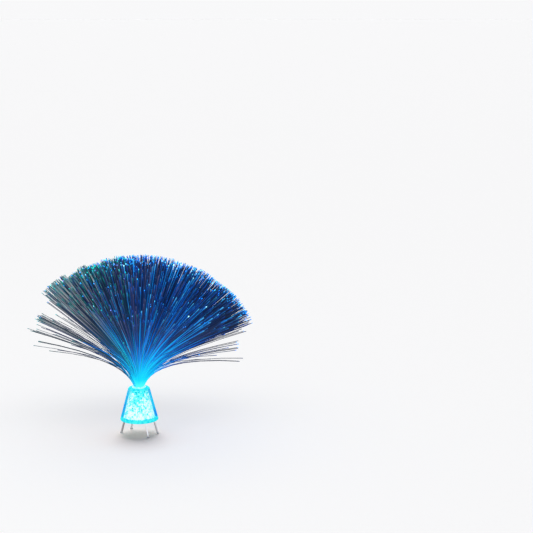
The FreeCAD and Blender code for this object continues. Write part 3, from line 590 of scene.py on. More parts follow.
def crystal_finish():
    """Clear chips with painted light: a painted glow of the light from below and behind, each facet with its
    own painted glint tone, and the low ones painted palest.
    """
    material = new_finish("lit_crystal", Roughness=0.08, Specular_IOR_Level=0.7, Emission_Strength=0.92,
                          Base_Color=(0.04, 0.1, 0.11, 1))
    facet = shader_node(material, "Attribute", {"attribute_name": "tone"}).outputs["Fac"]
    # Painted light: the lower chips are painted paler.
    low, high = (height * MM for height in PAINTED_LIGHT_BAND)
    bright = share_between(material, own_height(material), low, high, *PAINTED_LIGHT_CHANGE)
    veins = reckon(material, "MULTIPLY", reckon(material, "SUBTRACT", noise(material, 130, 3), 0.5), 1.1)
    level = reckon(material, "ADD", reckon(material, "ADD", facet, bright), veins)
    tones = [(0.05, (0.0, 0.52, 0.59)), (0.25, (0.0, 0.77, 0.83)), (0.45, (0.13, 0.93, 0.95)),
             (0.62, (0.52, 0.99, 0.97)), (0.78, (1.0, 1.0, 1.0))]
    paint(material, colour_steps(material, level, tones), "Emission Color")
    return material


def root_finish():
    """The polished root of the spray: fibre ends side by side in clear resin."""
    material = new_finish("potted_root", Roughness=0.1, Emission_Strength=0.7)
    cells = shader_node(material, "TexVoronoi", {"feature": "DISTANCE_TO_EDGE"}, Vector=own_place(material),
                        Scale=850.0).outputs["Distance"]
    tones = colour_steps(material, cells, [(0.0, (0.0, 0.2, 0.45)), (0.12, (0.25, 0.95, 1.0))])
    paint(material, tones, "Emission Color", "Base Color")
    return material


# %% [markdown]
# ## The clear cone
#
# One moulding: a hollow cone with rounded rim and shoulder, open at the foot for the base plate, and with
# a round hole in its top. It is a lathe form, so its outline is drawn once and spun. Its two screw bosses
# stand inside and are added as small cylinders with a softened top. They glow all through, as clear plastic
# does beside a light.

# %% Cone shell
CONE_FLOOR, CONE_TOP = 28.0, 90.0
CONE_RADIUS, CONE_TOP_RADIUS = 36.0, 19.7
WALL = 2.5
RIM_ROUND, SHOULDER_ROUND = 1.1, 2.5
REBATE_RADIUS, REBATE_TOP = 33.2, 33.0
TOP_HOLE = 12.25
SLOPE = (CONE_RADIUS - CONE_TOP_RADIUS) / (CONE_TOP - CONE_FLOOR)
LEAN = math.degrees(math.atan(SLOPE))
UNDERSIDE_TURN = -37.0
SCREW_CIRCLE, SCREW_TURNS = 28.8, (UNDERSIDE_TURN, UNDERSIDE_TURN + 180)
BOSS_RADIUS, BOSS_HEIGHT, BOSS_SOFT = 2.6, 5.8, 0.4


def cone_radius(height):
    """The cone's outer radius at a height, before its edges are rounded."""
    return CONE_RADIUS - SLOPE * (height - CONE_FLOOR)


def inner_radius(height):
    return cone_radius(height) - WALL


def polar(radius, degrees, height):
    """A point in millimetres from a radius, a direction and a height."""
    angle = math.radians(degrees)
    return Vector((radius * math.cos(angle), radius * math.sin(angle), height))


def cone_shell():
    across = 1 / math.cos(math.radians(LEAN))
    rim = (cone_radius(CONE_FLOOR + RIM_ROUND) - RIM_ROUND * across, CONE_FLOOR + RIM_ROUND)
    shoulder = (cone_radius(CONE_TOP - SHOULDER_ROUND) - SHOULDER_ROUND * across, CONE_TOP - SHOULDER_ROUND)
    lip = 0.3
    outline = ([(REBATE_RADIUS, CONE_FLOOR)] + arc(rim, RIM_ROUND, -90, LEAN)
               + arc(shoulder, SHOULDER_ROUND, LEAN, 90)
               + arc((TOP_HOLE + lip, CONE_TOP - lip), lip, 90, 180, 3)
               + [(TOP_HOLE, CONE_TOP - WALL), (inner_radius(CONE_TOP - WALL), CONE_TOP - WALL),
                  (inner_radius(REBATE_TOP), REBATE_TOP), (REBATE_RADIUS, REBATE_TOP)])
    piece = turned("clear_cone", outline, 128)
    piece.data.materials.append(clear_wall())
    glowing = lit_ring("lit_boss", (0.3, 0.6, 0.66), (0.3, 0.93, 1.0), 0.9)
    for along in SCREW_TURNS:
        middle = polar(SCREW_CIRCLE, along, REBATE_TOP + BOSS_HEIGHT / 2) * MM
        bpy.ops.mesh.primitive_cylinder_add(vertices=24, radius=BOSS_RADIUS * MM, depth=BOSS_HEIGHT * MM,
                                            location=middle)
        boss = bpy.context.object
        bpy.ops.object.mode_set(mode="EDIT")
        pick("edges", lambda edge: edge.z > BOSS_HEIGHT * 0.49 * MM)
        bpy.ops.mesh.bevel(offset=BOSS_SOFT * MM, segments=2)
        bpy.ops.object.mode_set(mode="OBJECT")
        settled(boss, "boss").data.materials.append(glowing)
        joined([piece, boss])
    return placed(smooth(piece), "base", "clear_acrylic", None, "cone_shell")


cone_shell()

# %% [markdown]
# ## Collar and ferrule
#
# The collar is sprung into the hole in the cone's top and turns there: its lip is slit in four, so that it
# can be pushed in. The ferrule holds the root of the spray and slides into the collar. Both are turned. The
# slits are cut with a boolean modifier by two crossed bars.

# %% Collar, ferrule and root
COLLAR_BORE, COLLAR_NECK, COLLAR_FLANGE, COLLAR_LIP = 11.0, 11.9, 13.0, 12.9
LIP_FLOOR, LIP_TOP = 85.9, 87.15
FLANGE_FLOOR, FLANGE_TOP = 90.35, 91.2
FERRULE_FLOOR, FERRULE_BORE, FERRULE_RADIUS = 86.0, 10.1, 10.65
BEAD_RADIUS, BEAD_FLOOR, BEAD_TOP = 11.9, 91.55, 92.65
SLIT_BAR = (40, 1.2, 5)


def soft_band(radius, floor, top, soft, steps):
    """The outer side of a turned band, from its floor to its top, with both edges rounded."""
    return (arc((radius - soft, floor + soft), soft, -90, 0, steps)
            + arc((radius - soft, top - soft), soft, 0, 90, steps))


def collar():
    soft = 0.25
    outline = [(COLLAR_BORE, LIP_FLOOR), (COLLAR_LIP - soft, LIP_FLOOR), (COLLAR_LIP, LIP_FLOOR + soft),
               (COLLAR_LIP, LIP_TOP), (COLLAR_NECK, LIP_TOP), (COLLAR_NECK, FLANGE_FLOOR),
               *soft_band(COLLAR_FLANGE, FLANGE_FLOOR, FLANGE_TOP, soft, 3), (COLLAR_BORE, FLANGE_TOP)]
    piece = turned("turning_collar", outline)
    cross_cut(piece, LIP_FLOOR, SLIT_BAR)
    finish = lit_ring("lit_collar", (0.2, 0.5, 0.6), (0.1, 0.85, 1.0))
    return placed(smooth(piece), "collar", "clear_acrylic", finish, "collar_ring")


def ferrule():
    soft = 0.35
    outline = [(FERRULE_BORE, FERRULE_FLOOR), (FERRULE_RADIUS - soft, FERRULE_FLOOR),
               (FERRULE_RADIUS, FERRULE_FLOOR + soft), (FERRULE_RADIUS, BEAD_FLOOR),
               *soft_band(BEAD_RADIUS, BEAD_FLOOR, BEAD_TOP, soft, 4), (FERRULE_BORE, BEAD_TOP)]
    finish = lit_ring("lit_ferrule", (0.1, 0.45, 0.6), (0.05, 0.78, 1.0))
    return placed(turned("spray_ferrule", outline), "spray", "clear_acrylic", finish, "ferrule")


collar()
ferrule()

# %% [markdown]
# ## Crystal chips
#
# The cone is full of clear plastic chips the size of peas. One chip is modelled from an icosphere, pulled
# into a splinter, and planted in rings behind the wall. Each copy is turned and stretched its own way, and
# every facet gets its own tone of painted glow: that painted sparkle is what makes the cone look full of
# crystals.

# %% Chips
CHIP_ROWS = 14
CHIP_SIZE, INNER_CHIP_SIZE, CHIP_REACH = 2.9, 3.625, 1.25
WALL_AIR, RING_STEP, CHIP_STEP = 0.35, 1.35, 1.45
TUBE_RADIUS, BOARD_RADIUS, BOARD_FLOOR = 13.1, 14.6, 82
FACET_TONES, FACET_CHANGE = (0.2, 0.85), 0.16


def chip_master():
    bpy.ops.mesh.primitive_ico_sphere_add(subdivisions=1, radius=1)
    chip = bpy.context.object
    bpy.ops.object.mode_set(mode="EDIT")
    pick("verts", lambda middle: middle.z > 0.9)
    bpy.ops.transform.translate(value=(0.25, -0.1, 0.2))
    pick("verts", lambda middle: middle.x > 0.7)
    bpy.ops.transform.resize(value=(0.75, 1, 1.2))
    bpy.ops.object.mode_set(mode="OBJECT")
    return settled(chip, "chip_master")


def chip_places(draw):
    """The middles and sizes of the chips, in rows up the wall, with two more rings behind them where the
    battery tube and the boards leave room."""
    low, high = REBATE_TOP + CHIP_SIZE * 0.85, CONE_TOP - WALL - CHIP_SIZE - 0.8
    for row in range(CHIP_ROWS):
        height = low + (high - low) * row / (CHIP_ROWS - 1)
        core = TUBE_RADIUS if height < BOARD_FLOOR else BOARD_RADIUS
        for ring, size in enumerate((CHIP_SIZE, INNER_CHIP_SIZE, INNER_CHIP_SIZE)):
            radius = inner_radius(height) - WALL_AIR - CHIP_SIZE * (1.0 + RING_STEP * ring)
            if radius - size < core and ring:
                continue
            radius = max(radius, core + 0.9 * size)
            count = int(math.tau * radius / (size * CHIP_STEP))
            for number in range(count):
                along = 360 * (number + 0.5 * (row % 2) + draw.uniform(-0.25, 0.25)) / count
                lift = draw.uniform(-0.5, 0.5)
                place = polar(radius - draw.uniform(0, 0.7), along, height + lift)
                yield place, size * draw.uniform(0.8, 1.05)


def crystals():
    draw = random.Random(11)
    master = chip_master()
    local = points_of(master) / CHIP_REACH
    shapes, facets = [], []
    for place, size in chip_places(draw):
        spin = Matrix.Rotation(draw.uniform(0, math.tau), 3, Vector([draw.gauss(0, 1) for _ in range(3)]))
        stretch = np.array([draw.uniform(0.75, 1.0) for _ in range(3)])
        chip = (local * stretch * size) @ np.array(spin)
        reach = np.linalg.norm(chip[:, :2] + np.array(place)[:2], axis=1)
        pull = max(0.0, reach.max() - (inner_radius(place.z + CHIP_SIZE) - 0.1))
        inward = -np.array([place.x, place.y, 0]) / place.xy.length * pull
        shapes.append((chip + np.array(place) + inward) * MM)
        own = draw.uniform(*FACET_TONES)
        facets += [min(1.0, max(0.0, own + draw.uniform(-FACET_CHANGE, FACET_CHANGE)))
                   for _ in master.data.polygons]
    piece = copies("crystal_chips", master, shapes)
    bpy.data.objects.remove(master)
    tones = piece.data.attributes.new("tone", "FLOAT", "FACE")
    tones.data.foreach_set("value", np.array(facets, np.float32))
    print(len(shapes), "chips")
    return placed(piece, "base", "crystal", crystal_finish(), "crystals", "crystal_filling")


crystals()

# %% [markdown]
# ## Legs and feet
#
# Four thin rods of polished steel run from sockets in the base plate, splayed outwards in two pairs. Each
# stands in a short clear tip. A rod is a cylinder laid along the leg's line, with its ends softened. Each
# leg's steel has its own painted reflection: a tone of its own, pale in front and dark on the left.

# %% Legs
LEG_RADIUS, TIP_RADIUS, TIP_HEIGHT, LEG_TOP = 2.0, 2.3, 3.0, 39.4
LEG_CIRCLE, LEG_SPLAY, LEG_SPREAD = 27.5, 14.8, 27.0
# Each leg's painted reflection: how light or dark its steel looks.
LEG_REFLECTION_TONES = {"right": 0.68, "front": 0.86, "left": 0.46, "back": 0.72}
LEGS = {"right": LEG_SPREAD, "front": -LEG_SPREAD, "left": 180 + LEG_SPREAD, "back": 180 - LEG_SPREAD}


def leg_point(along, height):
    """Where a leg's middle line passes a height, in millimetres."""
    inward = math.tan(math.radians(LEG_SPLAY)) * (height - CONE_FLOOR)
    return polar(LEG_CIRCLE - inward, along + UNDERSIDE_TURN, height)


def rod(name, low, high, radius, soften):
    """A cylinder between two points, with its end edges softened."""
    middle, line = (low + high) / 2, high - low
    bpy.ops.mesh.primitive_cylinder_add(vertices=40, radius=radius * MM, depth=line.length * MM)
    piece = bpy.context.object
    bpy.ops.object.mode_set(mode="EDIT")
    pick("edges", lambda edge: abs(edge.z) > line.length * MM * 0.49)
    bpy.ops.mesh.bevel(offset=soften * MM, segments=3)
    bpy.ops.object.mode_set(mode="OBJECT")
    piece.matrix_world = Matrix.Translation(middle * MM) @ line.to_track_quat("Z", "Y").to_matrix().to_4x4()
    return smooth(settled(piece, name))


def polished_steel(name, level):
    # level is this leg's painted reflection tone.
    material = new_finish(f"steel_{name}", Metallic=1.0)
    return uneven(material, (level, level * 1.01, level * 1.05), 0.03, 150, 0.12, 0.05, 0.004, 900)


def legs():
    for name, along in LEGS.items():
        low, high = leg_point(along, TIP_HEIGHT), leg_point(along, LEG_TOP)
        leg = rod(f"leg_rod_{name}", low, high, LEG_RADIUS, 0.15)
        placed(leg, "base", "polished_steel", polished_steel(name, LEG_REFLECTION_TONES[name]), f"leg_{name}")
    tips = []
    for along in LEGS.values():
        tip = rod("tip", leg_point(along, -2), leg_point(along, TIP_HEIGHT), TIP_RADIUS, 0.35)
        only(tip)
        bpy.ops.object.mode_set(mode="EDIT")
        bpy.ops.mesh.select_all(action="SELECT")
        bpy.ops.mesh.bisect(plane_co=(0, 0, 0), plane_no=(0, 0, 1), use_fill=True, clear_inner=True)
        bpy.ops.object.mode_set(mode="OBJECT")
        tips.append(tip)
    tips = smooth(settled(joined(tips), "leg_tips"))
    placed(tips, "base", "clear_silicone", silicone(), "foot_tips")


legs()

# %% [markdown]
# ## Screws
#
# Two small pan-head screws hold the base plate. The head is turned from a low dome, and a plus-shaped
# recess is cut into it, because that is how a hand would know it for a screw.

# %% Plate screws
SCREW_OUTLINE = [(0.0, 38.4), (0.75, 38.2), (1.05, 37.6), (1.05, 30.6), (2.2, 30.6),
                 *arc((1.2, 30.2), 1.0, 0, -90, 5), (0.0, 29.2)]
RECESS_HEIGHT, RECESS_BAR = 29.2, (2.3, 0.45, 1.3)


def screws():
    pair = []
    for along in SCREW_TURNS:
        screw = turned("screw", SCREW_OUTLINE, 32)
        cross_cut(screw, RECESS_HEIGHT, RECESS_BAR)
        screw.location = polar(SCREW_CIRCLE, along, 0) * MM
        pair.append(settled(screw, "screw"))
    pair = smooth(settled(joined(pair), "cross_screws"))
    placed(pair, "base", "zinc_steel", plated("zinc_screw", (0.62, 0.63, 0.65), 0.3), "plate_screws")


screws()

# %% [markdown]
# ## The fibres
#
# More than three thousand thin light fibres are set in the root like the seeds of a sunflower. Each leaves it
# nearly upright and bends outwards. Some on the outside are strays that lie almost level, in small bundles
# and in one thick lock. One fibre is modelled: a four-sided rod cut into runs that are short where it bends,
# with a slightly wider tip. It is then planted thousands of times, each copy laid along its own line. Its
# map has its place along the fibre in V and its kind and tone in U, which is what colours it.

# %% One fibre
THICKNESS_CUTS, THICKNESS = (0.0, 0.35, 1.0), (0.24, 0.47, 0.53)
FIBRE_CUTS = (0.03, 0.07, 0.12, 0.18, 0.26, 0.36, 0.48, 0.63, 0.81, 0.992)


def fibre_master():
    """A rod one unit long with a radius of one."""
    bpy.ops.mesh.primitive_cylinder_add(vertices=4, radius=1, depth=1, location=(0, 0, 0.5))
    piece = settled(bpy.context.object, "fibre_master")
    bpy.ops.object.mode_set(mode="EDIT")
    for cut in FIBRE_CUTS:
        bpy.ops.mesh.select_all(action="SELECT")
        bpy.ops.mesh.bisect(plane_co=(0, 0, cut), plane_no=(0, 0, 1))
    pick("verts", lambda middle: middle.z > 0.99)
    bpy.ops.transform.resize(value=(1.1, 1.1, 1))
    bpy.ops.object.mode_set(mode="OBJECT")
    print("one fibre has", len(piece.data.polygons), "faces")
    return piece


# %% [markdown]
# ## Where each fibre goes
#
# The dome is planned fibre by fibre. Tips on a sunflower's spiral cover the cap of a ball evenly, which no
# real lamp does, so each fibre is then drawn a little to the nearest clump, more on one side than on the
# other. The strays and the lock come last. Chance has a fixed seed, so the lamp is the same each time.

# %% The plan of the spray
GOLDEN_ANGLE = 137.508
BUNDLE_RADIUS = 9.6
FIBRE_LENGTH, LENGTH_SPREAD = 246.0, 0.012
ROOT_LEAN, BEND_LENGTH = 0.27, 50.0
SWAY, LINE_STEPS = 0.03, 120

DOME_FIBRES, DOME_LEAN, DOME_SKEW = 3200, 58.5, 0.165
LEAN_SPREAD, TURN_SPREAD = 0.7, 0.9
CROWN_LEAN, SHOULDER_LEAN = 26.0, 42.0

CLUMPS, CLUMP_LENGTHS = 170, (-0.024, 0.016)
CLUMP_LENGTH_SIDES, CLUMP_LENGTH_SHARES = (-0.3, 0.3), (1.0, 0.4)
CLUMP_PULL_SIDES, CLUMP_PULLS = (-0.5, 0.2), (0.34, 0.05)

STRAY_BUNDLES, BUNDLE_SIZES = 34, (1, 1, 2, 3, 4, 6)
STRAY_GAP, STRAY_LOWEST, STRAY_SIDEWAYS, STRAY_SKEW = 5.0, 66.0, 16.0, 6.0
STRAY_LENGTHS, STRAY_DROOP = (0.86, 0.95), 10
STRAY_TURN_SPREAD, STRAY_LEAN_SPREAD = 3.5, 1.1

LOCK_FIBRES, LOCK_AZIMUTH, LOCK_LEAN, LOCK_DROOP = 26, 184.0, 61.0, 2.0
LOCK_LENGTHS, LOCK_TURN_SPREAD, LOCK_LEAN_SPREAD = (0.88, 0.93), 2.4, 1.5


def dome_lean(share, azimuth):
    """How far a dome fibre leans at its tip, in degrees. The tips cover a ball's cap evenly, and the cap
    reaches further down on one side than on the other."""
    cap = 1 - math.cos(math.radians(DOME_LEAN))
    return math.degrees(math.acos(1 - cap * share)) * (1 + DOME_SKEW * math.cos(math.radians(azimuth)))


def stray_lean(share, azimuth):
    """How far a stray leans: from just under the dome's edge down to nearly level, left and right."""
    side = math.cos(math.radians(azimuth))
    first = dome_lean(1, azimuth) + STRAY_GAP
    last = STRAY_LOWEST + STRAY_SIDEWAYS * abs(side) ** 1.5 + STRAY_SKEW * side
    return first + (last - first) * share ** 0.8


def sideways(azimuth, lean):
    """How far a fibre leans to the right, from -1 to 1."""
    return math.cos(math.radians(azimuth)) * math.sin(math.radians(lean))


def gap_between(lean, azimuth, other_lean, other_azimuth):
    """The steps in lean and azimuth from one direction to another, and about how far apart they are."""
    turn = (other_azimuth - azimuth + 180) % 360 - 180
    across = turn * math.sin(math.radians(lean))
    return math.hypot(other_lean - lean, across), other_lean - lean, turn


def clump_plan(draw):
    """The lean, azimuth and spare length of each clump that the dome's fibres are drawn to."""
    for number in range(CLUMPS):
        azimuth = number * GOLDEN_ANGLE % 360
        yield dome_lean((number + 0.5) / CLUMPS, azimuth), azimuth, draw.uniform(*CLUMP_LENGTHS)


def dome_plan(draw):
    """Each dome fibre's start, azimuth, lean, droop, length and zone."""
    clumps = list(clump_plan(draw))
    for number in range(DOME_FIBRES):
        share = (number + 0.5) / DOME_FIBRES
        azimuth = number * GOLDEN_ANGLE % 360
        start = polar(BUNDLE_RADIUS * math.sqrt(share), azimuth, BEAD_TOP)
        lean = dome_lean(share, azimuth)
        (_, up, turn), longer = min((gap_between(lean, azimuth, *clump[:2]), clump[2]) for clump in clumps)
        side = sideways(azimuth, lean)
        longer *= float(np.interp(side, CLUMP_LENGTH_SIDES, CLUMP_LENGTH_SHARES))
        pull = float(np.interp(side, CLUMP_PULL_SIDES, CLUMP_PULLS))
        lean = abs(lean + up * pull + draw.gauss(0, LEAN_SPREAD))
        azimuth += turn * pull + draw.gauss(0, TURN_SPREAD)
        length = FIBRE_LENGTH * (1 + longer + draw.uniform(-LENGTH_SPREAD, 0.0))
        zone = "crown" if lean < CROWN_LEAN else "shoulder" if lean < SHOULDER_LEAN else "skirt"
        yield start, azimuth, lean, 0.0, length, zone


def stray_plan(draw):
    """The same for the strays: small bundles all round, and then the thick lock."""
    for number in range(STRAY_BUNDLES):
        share = (number + 0.5) / STRAY_BUNDLES
        azimuth = number * GOLDEN_ANGLE % 360
        droop = draw.uniform(0, STRAY_DROOP) * share
        longest = FIBRE_LENGTH * draw.uniform(*STRAY_LENGTHS)
        for _ in range(draw.choice(BUNDLE_SIZES)):
            along = azimuth + draw.gauss(0, STRAY_TURN_SPREAD)
            start = polar(BUNDLE_RADIUS * draw.uniform(0.97, 1.03), along, BEAD_TOP)
            lean = stray_lean(share, along) + draw.gauss(0, STRAY_LEAN_SPREAD)
            yield start, along, lean, droop, longest * draw.uniform(0.9, 1), "strays"
    for _ in range(LOCK_FIBRES):
        along = LOCK_AZIMUTH + draw.gauss(0, LOCK_TURN_SPREAD)
        start = polar(BUNDLE_RADIUS * draw.uniform(0.95, 1.02), along, BEAD_TOP)
        length = FIBRE_LENGTH * draw.uniform(*LOCK_LENGTHS)
        yield start, along, LOCK_LEAN + draw.gauss(0, LOCK_LEAN_SPREAD), LOCK_DROOP, length, "strays"


# %% [markdown]
# A fibre bends where it leaves the root and runs nearly straight after that. Its line is added up from many
# short steps, and the rings of the modelled fibre are then moved onto it.

# %% One fibre's line
def fibre_line(start, azimuth, lean, droop, length, sway):
    """Points and directions at the fibre's cuts. Its lean grows from the root, settles, and may droop."""
    travel = (np.arange(LINE_STEPS) + 0.5) / LINE_STEPS * length
    lean_there = np.radians(lean * (1 - (1 - ROOT_LEAN) * np.exp(-travel / BEND_LENGTH))
                            + droop * (travel / length) ** 2)
    drift = np.radians(azimuth) + sway * (travel / length) ** 2
    runs = np.stack([np.sin(lean_there) * np.cos(drift), np.sin(lean_there) * np.sin(drift),
                     np.cos(lean_there)], 1) * (length / LINE_STEPS)
    places = np.vstack([np.zeros(3), np.cumsum(runs, 0)]) + np.array(start)
    cuts = np.array([0.0, *FIBRE_CUTS, 1.0])
    at, way = (np.stack([np.interp(cuts * LINE_STEPS, np.arange(LINE_STEPS + 1), path[:, side])
                         for side in range(3)], 1) for path in (places, np.gradient(places, axis=0)))
    return cuts, at, way / np.linalg.norm(way, axis=1)[:, None]


def laid_along(local, cuts, at, way, stout):
    """The master's points, laid along a fibre's line. The fibre is drawn thinner where it is packed tight,
    and stout is how many times as thick as the others it is."""
    ring = np.abs(local[:, 2][:, None] - cuts[None, :]).argmin(1)
    flat = np.cross(np.array([0.0, 0.0, 1.0]), way)
    flat /= np.maximum(np.linalg.norm(flat, axis=1), 1e-9)[:, None]
    steep = np.cross(way, flat)
    radius = stout * np.interp(cuts, THICKNESS_CUTS, THICKNESS)[ring][:, None]
    return at[ring] + radius * (local[:, :1] * flat[ring] + local[:, 1:2] * steep[ring])


# %% [markdown]
# The kinds of fibre differ in how far the light carries. All of them glow cyan or blue at the root. A few
# stay bright to the tip, some stay azure for half their length, and most fade to navy. The ones on one side
# fall into teal or smoky grey, and many on the other side are nearly black at the end. Each kind is a list:
# the colour of its tip when it is lit, and then the places and colours of a ramp along V, as they look on
# screen. U keeps the kinds apart on the map and varies the brightness from fibre to fibre, and the very end
# of V is the tip.

# %% Fibre finishes
def tone(red, green, blue):
    """A colour given as it looks on screen, from 0 to 1, as the linear values that a shader wants."""
    return tuple(side / 12.92 if side <= 0.04045 else ((side + 0.055) / 1.055) ** 2.4
                 for side in (red, green, blue))


ROOT_GLOW = [(0.0, 0.3, 0.97, 1.0), (0.07, 0.03, 0.86, 0.99)]
KINDS = {
    "navy": [(0.08, 0.61, 1.0), *ROOT_GLOW, (0.18, 0.02, 0.78, 0.98), (0.32, 0.01, 0.6, 0.93),
             (0.44, 0.01, 0.42, 0.76), (0.57, 0.03, 0.22, 0.46), (0.72, 0.06, 0.15, 0.31),
             (0.95, 0.06, 0.13, 0.26), (1.0, 0.08, 0.24, 0.45)],
    "midnight": [(0.1, 0.6, 0.95), *ROOT_GLOW, (0.16, 0.01, 0.66, 0.96), (0.28, 0.01, 0.4, 0.78),
                 (0.42, 0.02, 0.2, 0.46), (0.6, 0.02, 0.11, 0.26), (0.95, 0.02, 0.08, 0.18),
                 (1.0, 0.04, 0.2, 0.4)],
    "deep_blue": [(0.03, 0.52, 1.0), *ROOT_GLOW, (0.2, 0.01, 0.76, 1.0), (0.36, 0.0, 0.58, 0.98),
                  (0.53, 0.0, 0.35, 0.77), (0.7, 0.03, 0.21, 0.49), (0.95, 0.04, 0.16, 0.35),
                  (1.0, 0.04, 0.3, 0.72)],
    "azure": [(0.25, 0.8, 1.0), *ROOT_GLOW, (0.28, 0.01, 0.83, 1.0), (0.45, 0.01, 0.65, 1.0),
              (0.65, 0.02, 0.46, 0.9), (0.85, 0.03, 0.31, 0.68), (0.95, 0.04, 0.3, 0.62),
              (1.0, 0.1, 0.5, 0.85)],
    "bright": [(0.6, 0.92, 1.0), *ROOT_GLOW, (0.3, 0.05, 0.87, 1.0), (0.6, 0.04, 0.7, 1.0),
               (0.8, 0.05, 0.6, 0.96), (0.95, 0.1, 0.55, 0.9), (1.0, 0.3, 0.72, 0.96)],
    "cyan": [(0.45, 0.92, 1.0), *ROOT_GLOW, (0.32, 0.08, 0.9, 1.0), (0.5, 0.05, 0.74, 0.97),
             (0.75, 0.05, 0.5, 0.8), (0.95, 0.07, 0.36, 0.6), (1.0, 0.18, 0.55, 0.7)],
    "teal": [(0.04, 0.72, 0.7), *ROOT_GLOW, (0.14, 0.02, 0.49, 0.8), (0.3, 0.04, 0.39, 0.56),
             (0.48, 0.06, 0.28, 0.38), (0.75, 0.07, 0.18, 0.24), (0.95, 0.08, 0.21, 0.26),
             (1.0, 0.06, 0.5, 0.5)],
    "violet": [(0.45, 0.55, 0.95), *ROOT_GLOW, (0.18, 0.02, 0.66, 0.94), (0.34, 0.04, 0.45, 0.78),
               (0.52, 0.13, 0.28, 0.54), (0.72, 0.2, 0.22, 0.4), (0.95, 0.22, 0.24, 0.38),
               (1.0, 0.3, 0.33, 0.5)],
    "smoke": [(0.1, 0.56, 0.58), (0.0, 0.04, 0.6, 0.95), (0.05, 0.03, 0.34, 0.78), (0.12, 0.04, 0.17, 0.36),
              (0.25, 0.05, 0.11, 0.18), (0.45, 0.16, 0.2, 0.25), (0.65, 0.37, 0.4, 0.44),
              (0.85, 0.55, 0.57, 0.6), (0.955, 0.52, 0.56, 0.59), (1.0, 0.27, 0.5, 0.54)],
}
KIND_NAMES = list(KINDS)
TIP_START = 0.992
DIMMEST, BRIGHTEST = 0.35, 1.25
UNEVEN_FROM = 0.24
TIP_DULL, TIP_GLOW = 0.8, 2.3
MAP_NAME = "OFBake"


def fibre_finish(kind):
    """The finish of one kind of fibre, from its map alone. U holds the kind, then unlit or lit tips in two
    halves, then the brightness. V runs along the fibre."""
    tip, *steps = KINDS[kind]
    material = new_finish("fibre_" + kind, Roughness=0.4, Specular_IOR_Level=0.12)
    place = shader_node(material, "UVMap", {"uv_map": MAP_NAME}).outputs[0]
    across, along, _ = shader_node(material, "SeparateXYZ", Vector=place).outputs
    half = reckon(material, "FRACT", reckon(material, "MULTIPLY", across, float(len(KINDS))))
    own = reckon(material, "FRACT", reckon(material, "MULTIPLY", half, 2.0))
    level = share_between(material, own, 0.0, 1.0, DIMMEST, BRIGHTEST)
    late = reckon(material, "MINIMUM", reckon(material, "MULTIPLY", along, 1 / UNEVEN_FROM), 1.0)
    strength = reckon(material, "MULTIPLY_ADD", reckon(material, "SUBTRACT", level, 1.0), late, 1.0)
    at_tip = reckon(material, "GREATER_THAN", along, TIP_START - 0.001)
    lit = reckon(material, "MULTIPLY", at_tip, reckon(material, "GREATER_THAN", half, 0.5))
    body = colour_steps(material, along, [(place, tone(*colour)) for place, *colour in steps])
    paint(material, mix_colours(material, lit, body, (*tone(*tip), 1)), "Emission Color")
    tip_strength = reckon(material, "MULTIPLY_ADD", reckon(material, "POWER", own, 1.5), TIP_GLOW, TIP_DULL)
    shine = shader_node(material, "Mix", Factor=lit, A=strength, B=tip_strength).outputs[0]
    paint(material, shine, "Emission Strength")
    paint(material, mix_colours(material, 0.85, body, (0.01, 0.01, 0.02, 1)), "Base Color")
    material.cycles.emission_sampling = "NONE"
    return material


# %% [markdown]
# Which kind a fibre is depends on the way it leans, with chance mixed in: the spray runs from smoky grey
# over teal and navy to deep blue and midnight, with a few bright ones in the middle and beyond. Most tips at
# the back and on top are lit, and few at the front and among the grey ones.

# %% Which fibre is which
SHARES = [
    (-0.56, {"smoke": 0.66, "violet": 0.08, "teal": 0.22, "navy": 0.04}),
    (-0.36, {"teal": 0.48, "navy": 0.2, "smoke": 0.16, "violet": 0.12, "cyan": 0.04}),
    (-0.1, {"teal": 0.36, "navy": 0.3, "violet": 0.2, "cyan": 0.06, "azure": 0.07, "bright": 0.01}),
    (0.2, {"navy": 0.36, "deep_blue": 0.28, "violet": 0.19, "azure": 0.11, "cyan": 0.03, "bright": 0.03}),
    (0.62, {"deep_blue": 0.38, "navy": 0.24, "midnight": 0.12, "azure": 0.14, "violet": 0.05, "cyan": 0.02,
            "bright": 0.05}),
    (2.0, {"midnight": 0.42, "navy": 0.24, "deep_blue": 0.22, "azure": 0.07, "cyan": 0.02, "bright": 0.03}),
]
FRONT_BAND, LIT_SHARES = (0.05, 0.34), (0.78, 0.05)
LEFT_BAND, LEFT_SHARES = (-0.5, -0.15), (0.4, 1.0)
SIDE_SPREAD = 0.06


def kind_of(azimuth, lean, draw):
    side = sideways(azimuth, lean) + draw.gauss(0, SIDE_SPREAD)
    shares = next(shares for limit, shares in SHARES if side < limit)
    return draw.choices(list(shares), list(shares.values()))[0]


def tip_is_lit(azimuth, lean, draw):
    forward = -math.sin(math.radians(azimuth)) * math.sin(math.radians(lean))
    chance = float(np.interp(forward, FRONT_BAND, LIT_SHARES))
    chance *= float(np.interp(sideways(azimuth, lean), LEFT_BAND, LEFT_SHARES))
    return draw.random() < chance


def map_column(kind, lit, own):
    """Where on the map's width a fibre of this kind, tip and brightness lies, a little in from the edges."""
    return (KIND_NAMES.index(kind) + (lit + 0.1 + 0.8 * own) / 2) / len(KINDS)


# %% [markdown]
# All the fibres of a zone are one mesh, because thousands of separate objects would be slow. Each zone stands
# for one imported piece.

# %% Plant the spray
MAP_WIDTH, END_SPREAD, END_INSET = 0.006, 0.003, 0.004
STOUT_KINDS = {"bright": 1.5}
ZONES = {"crown": "fibres_crown", "shoulder": "fibres_shoulder", "skirt": "fibres_skirt",
         "strays": "stray_fibres"}


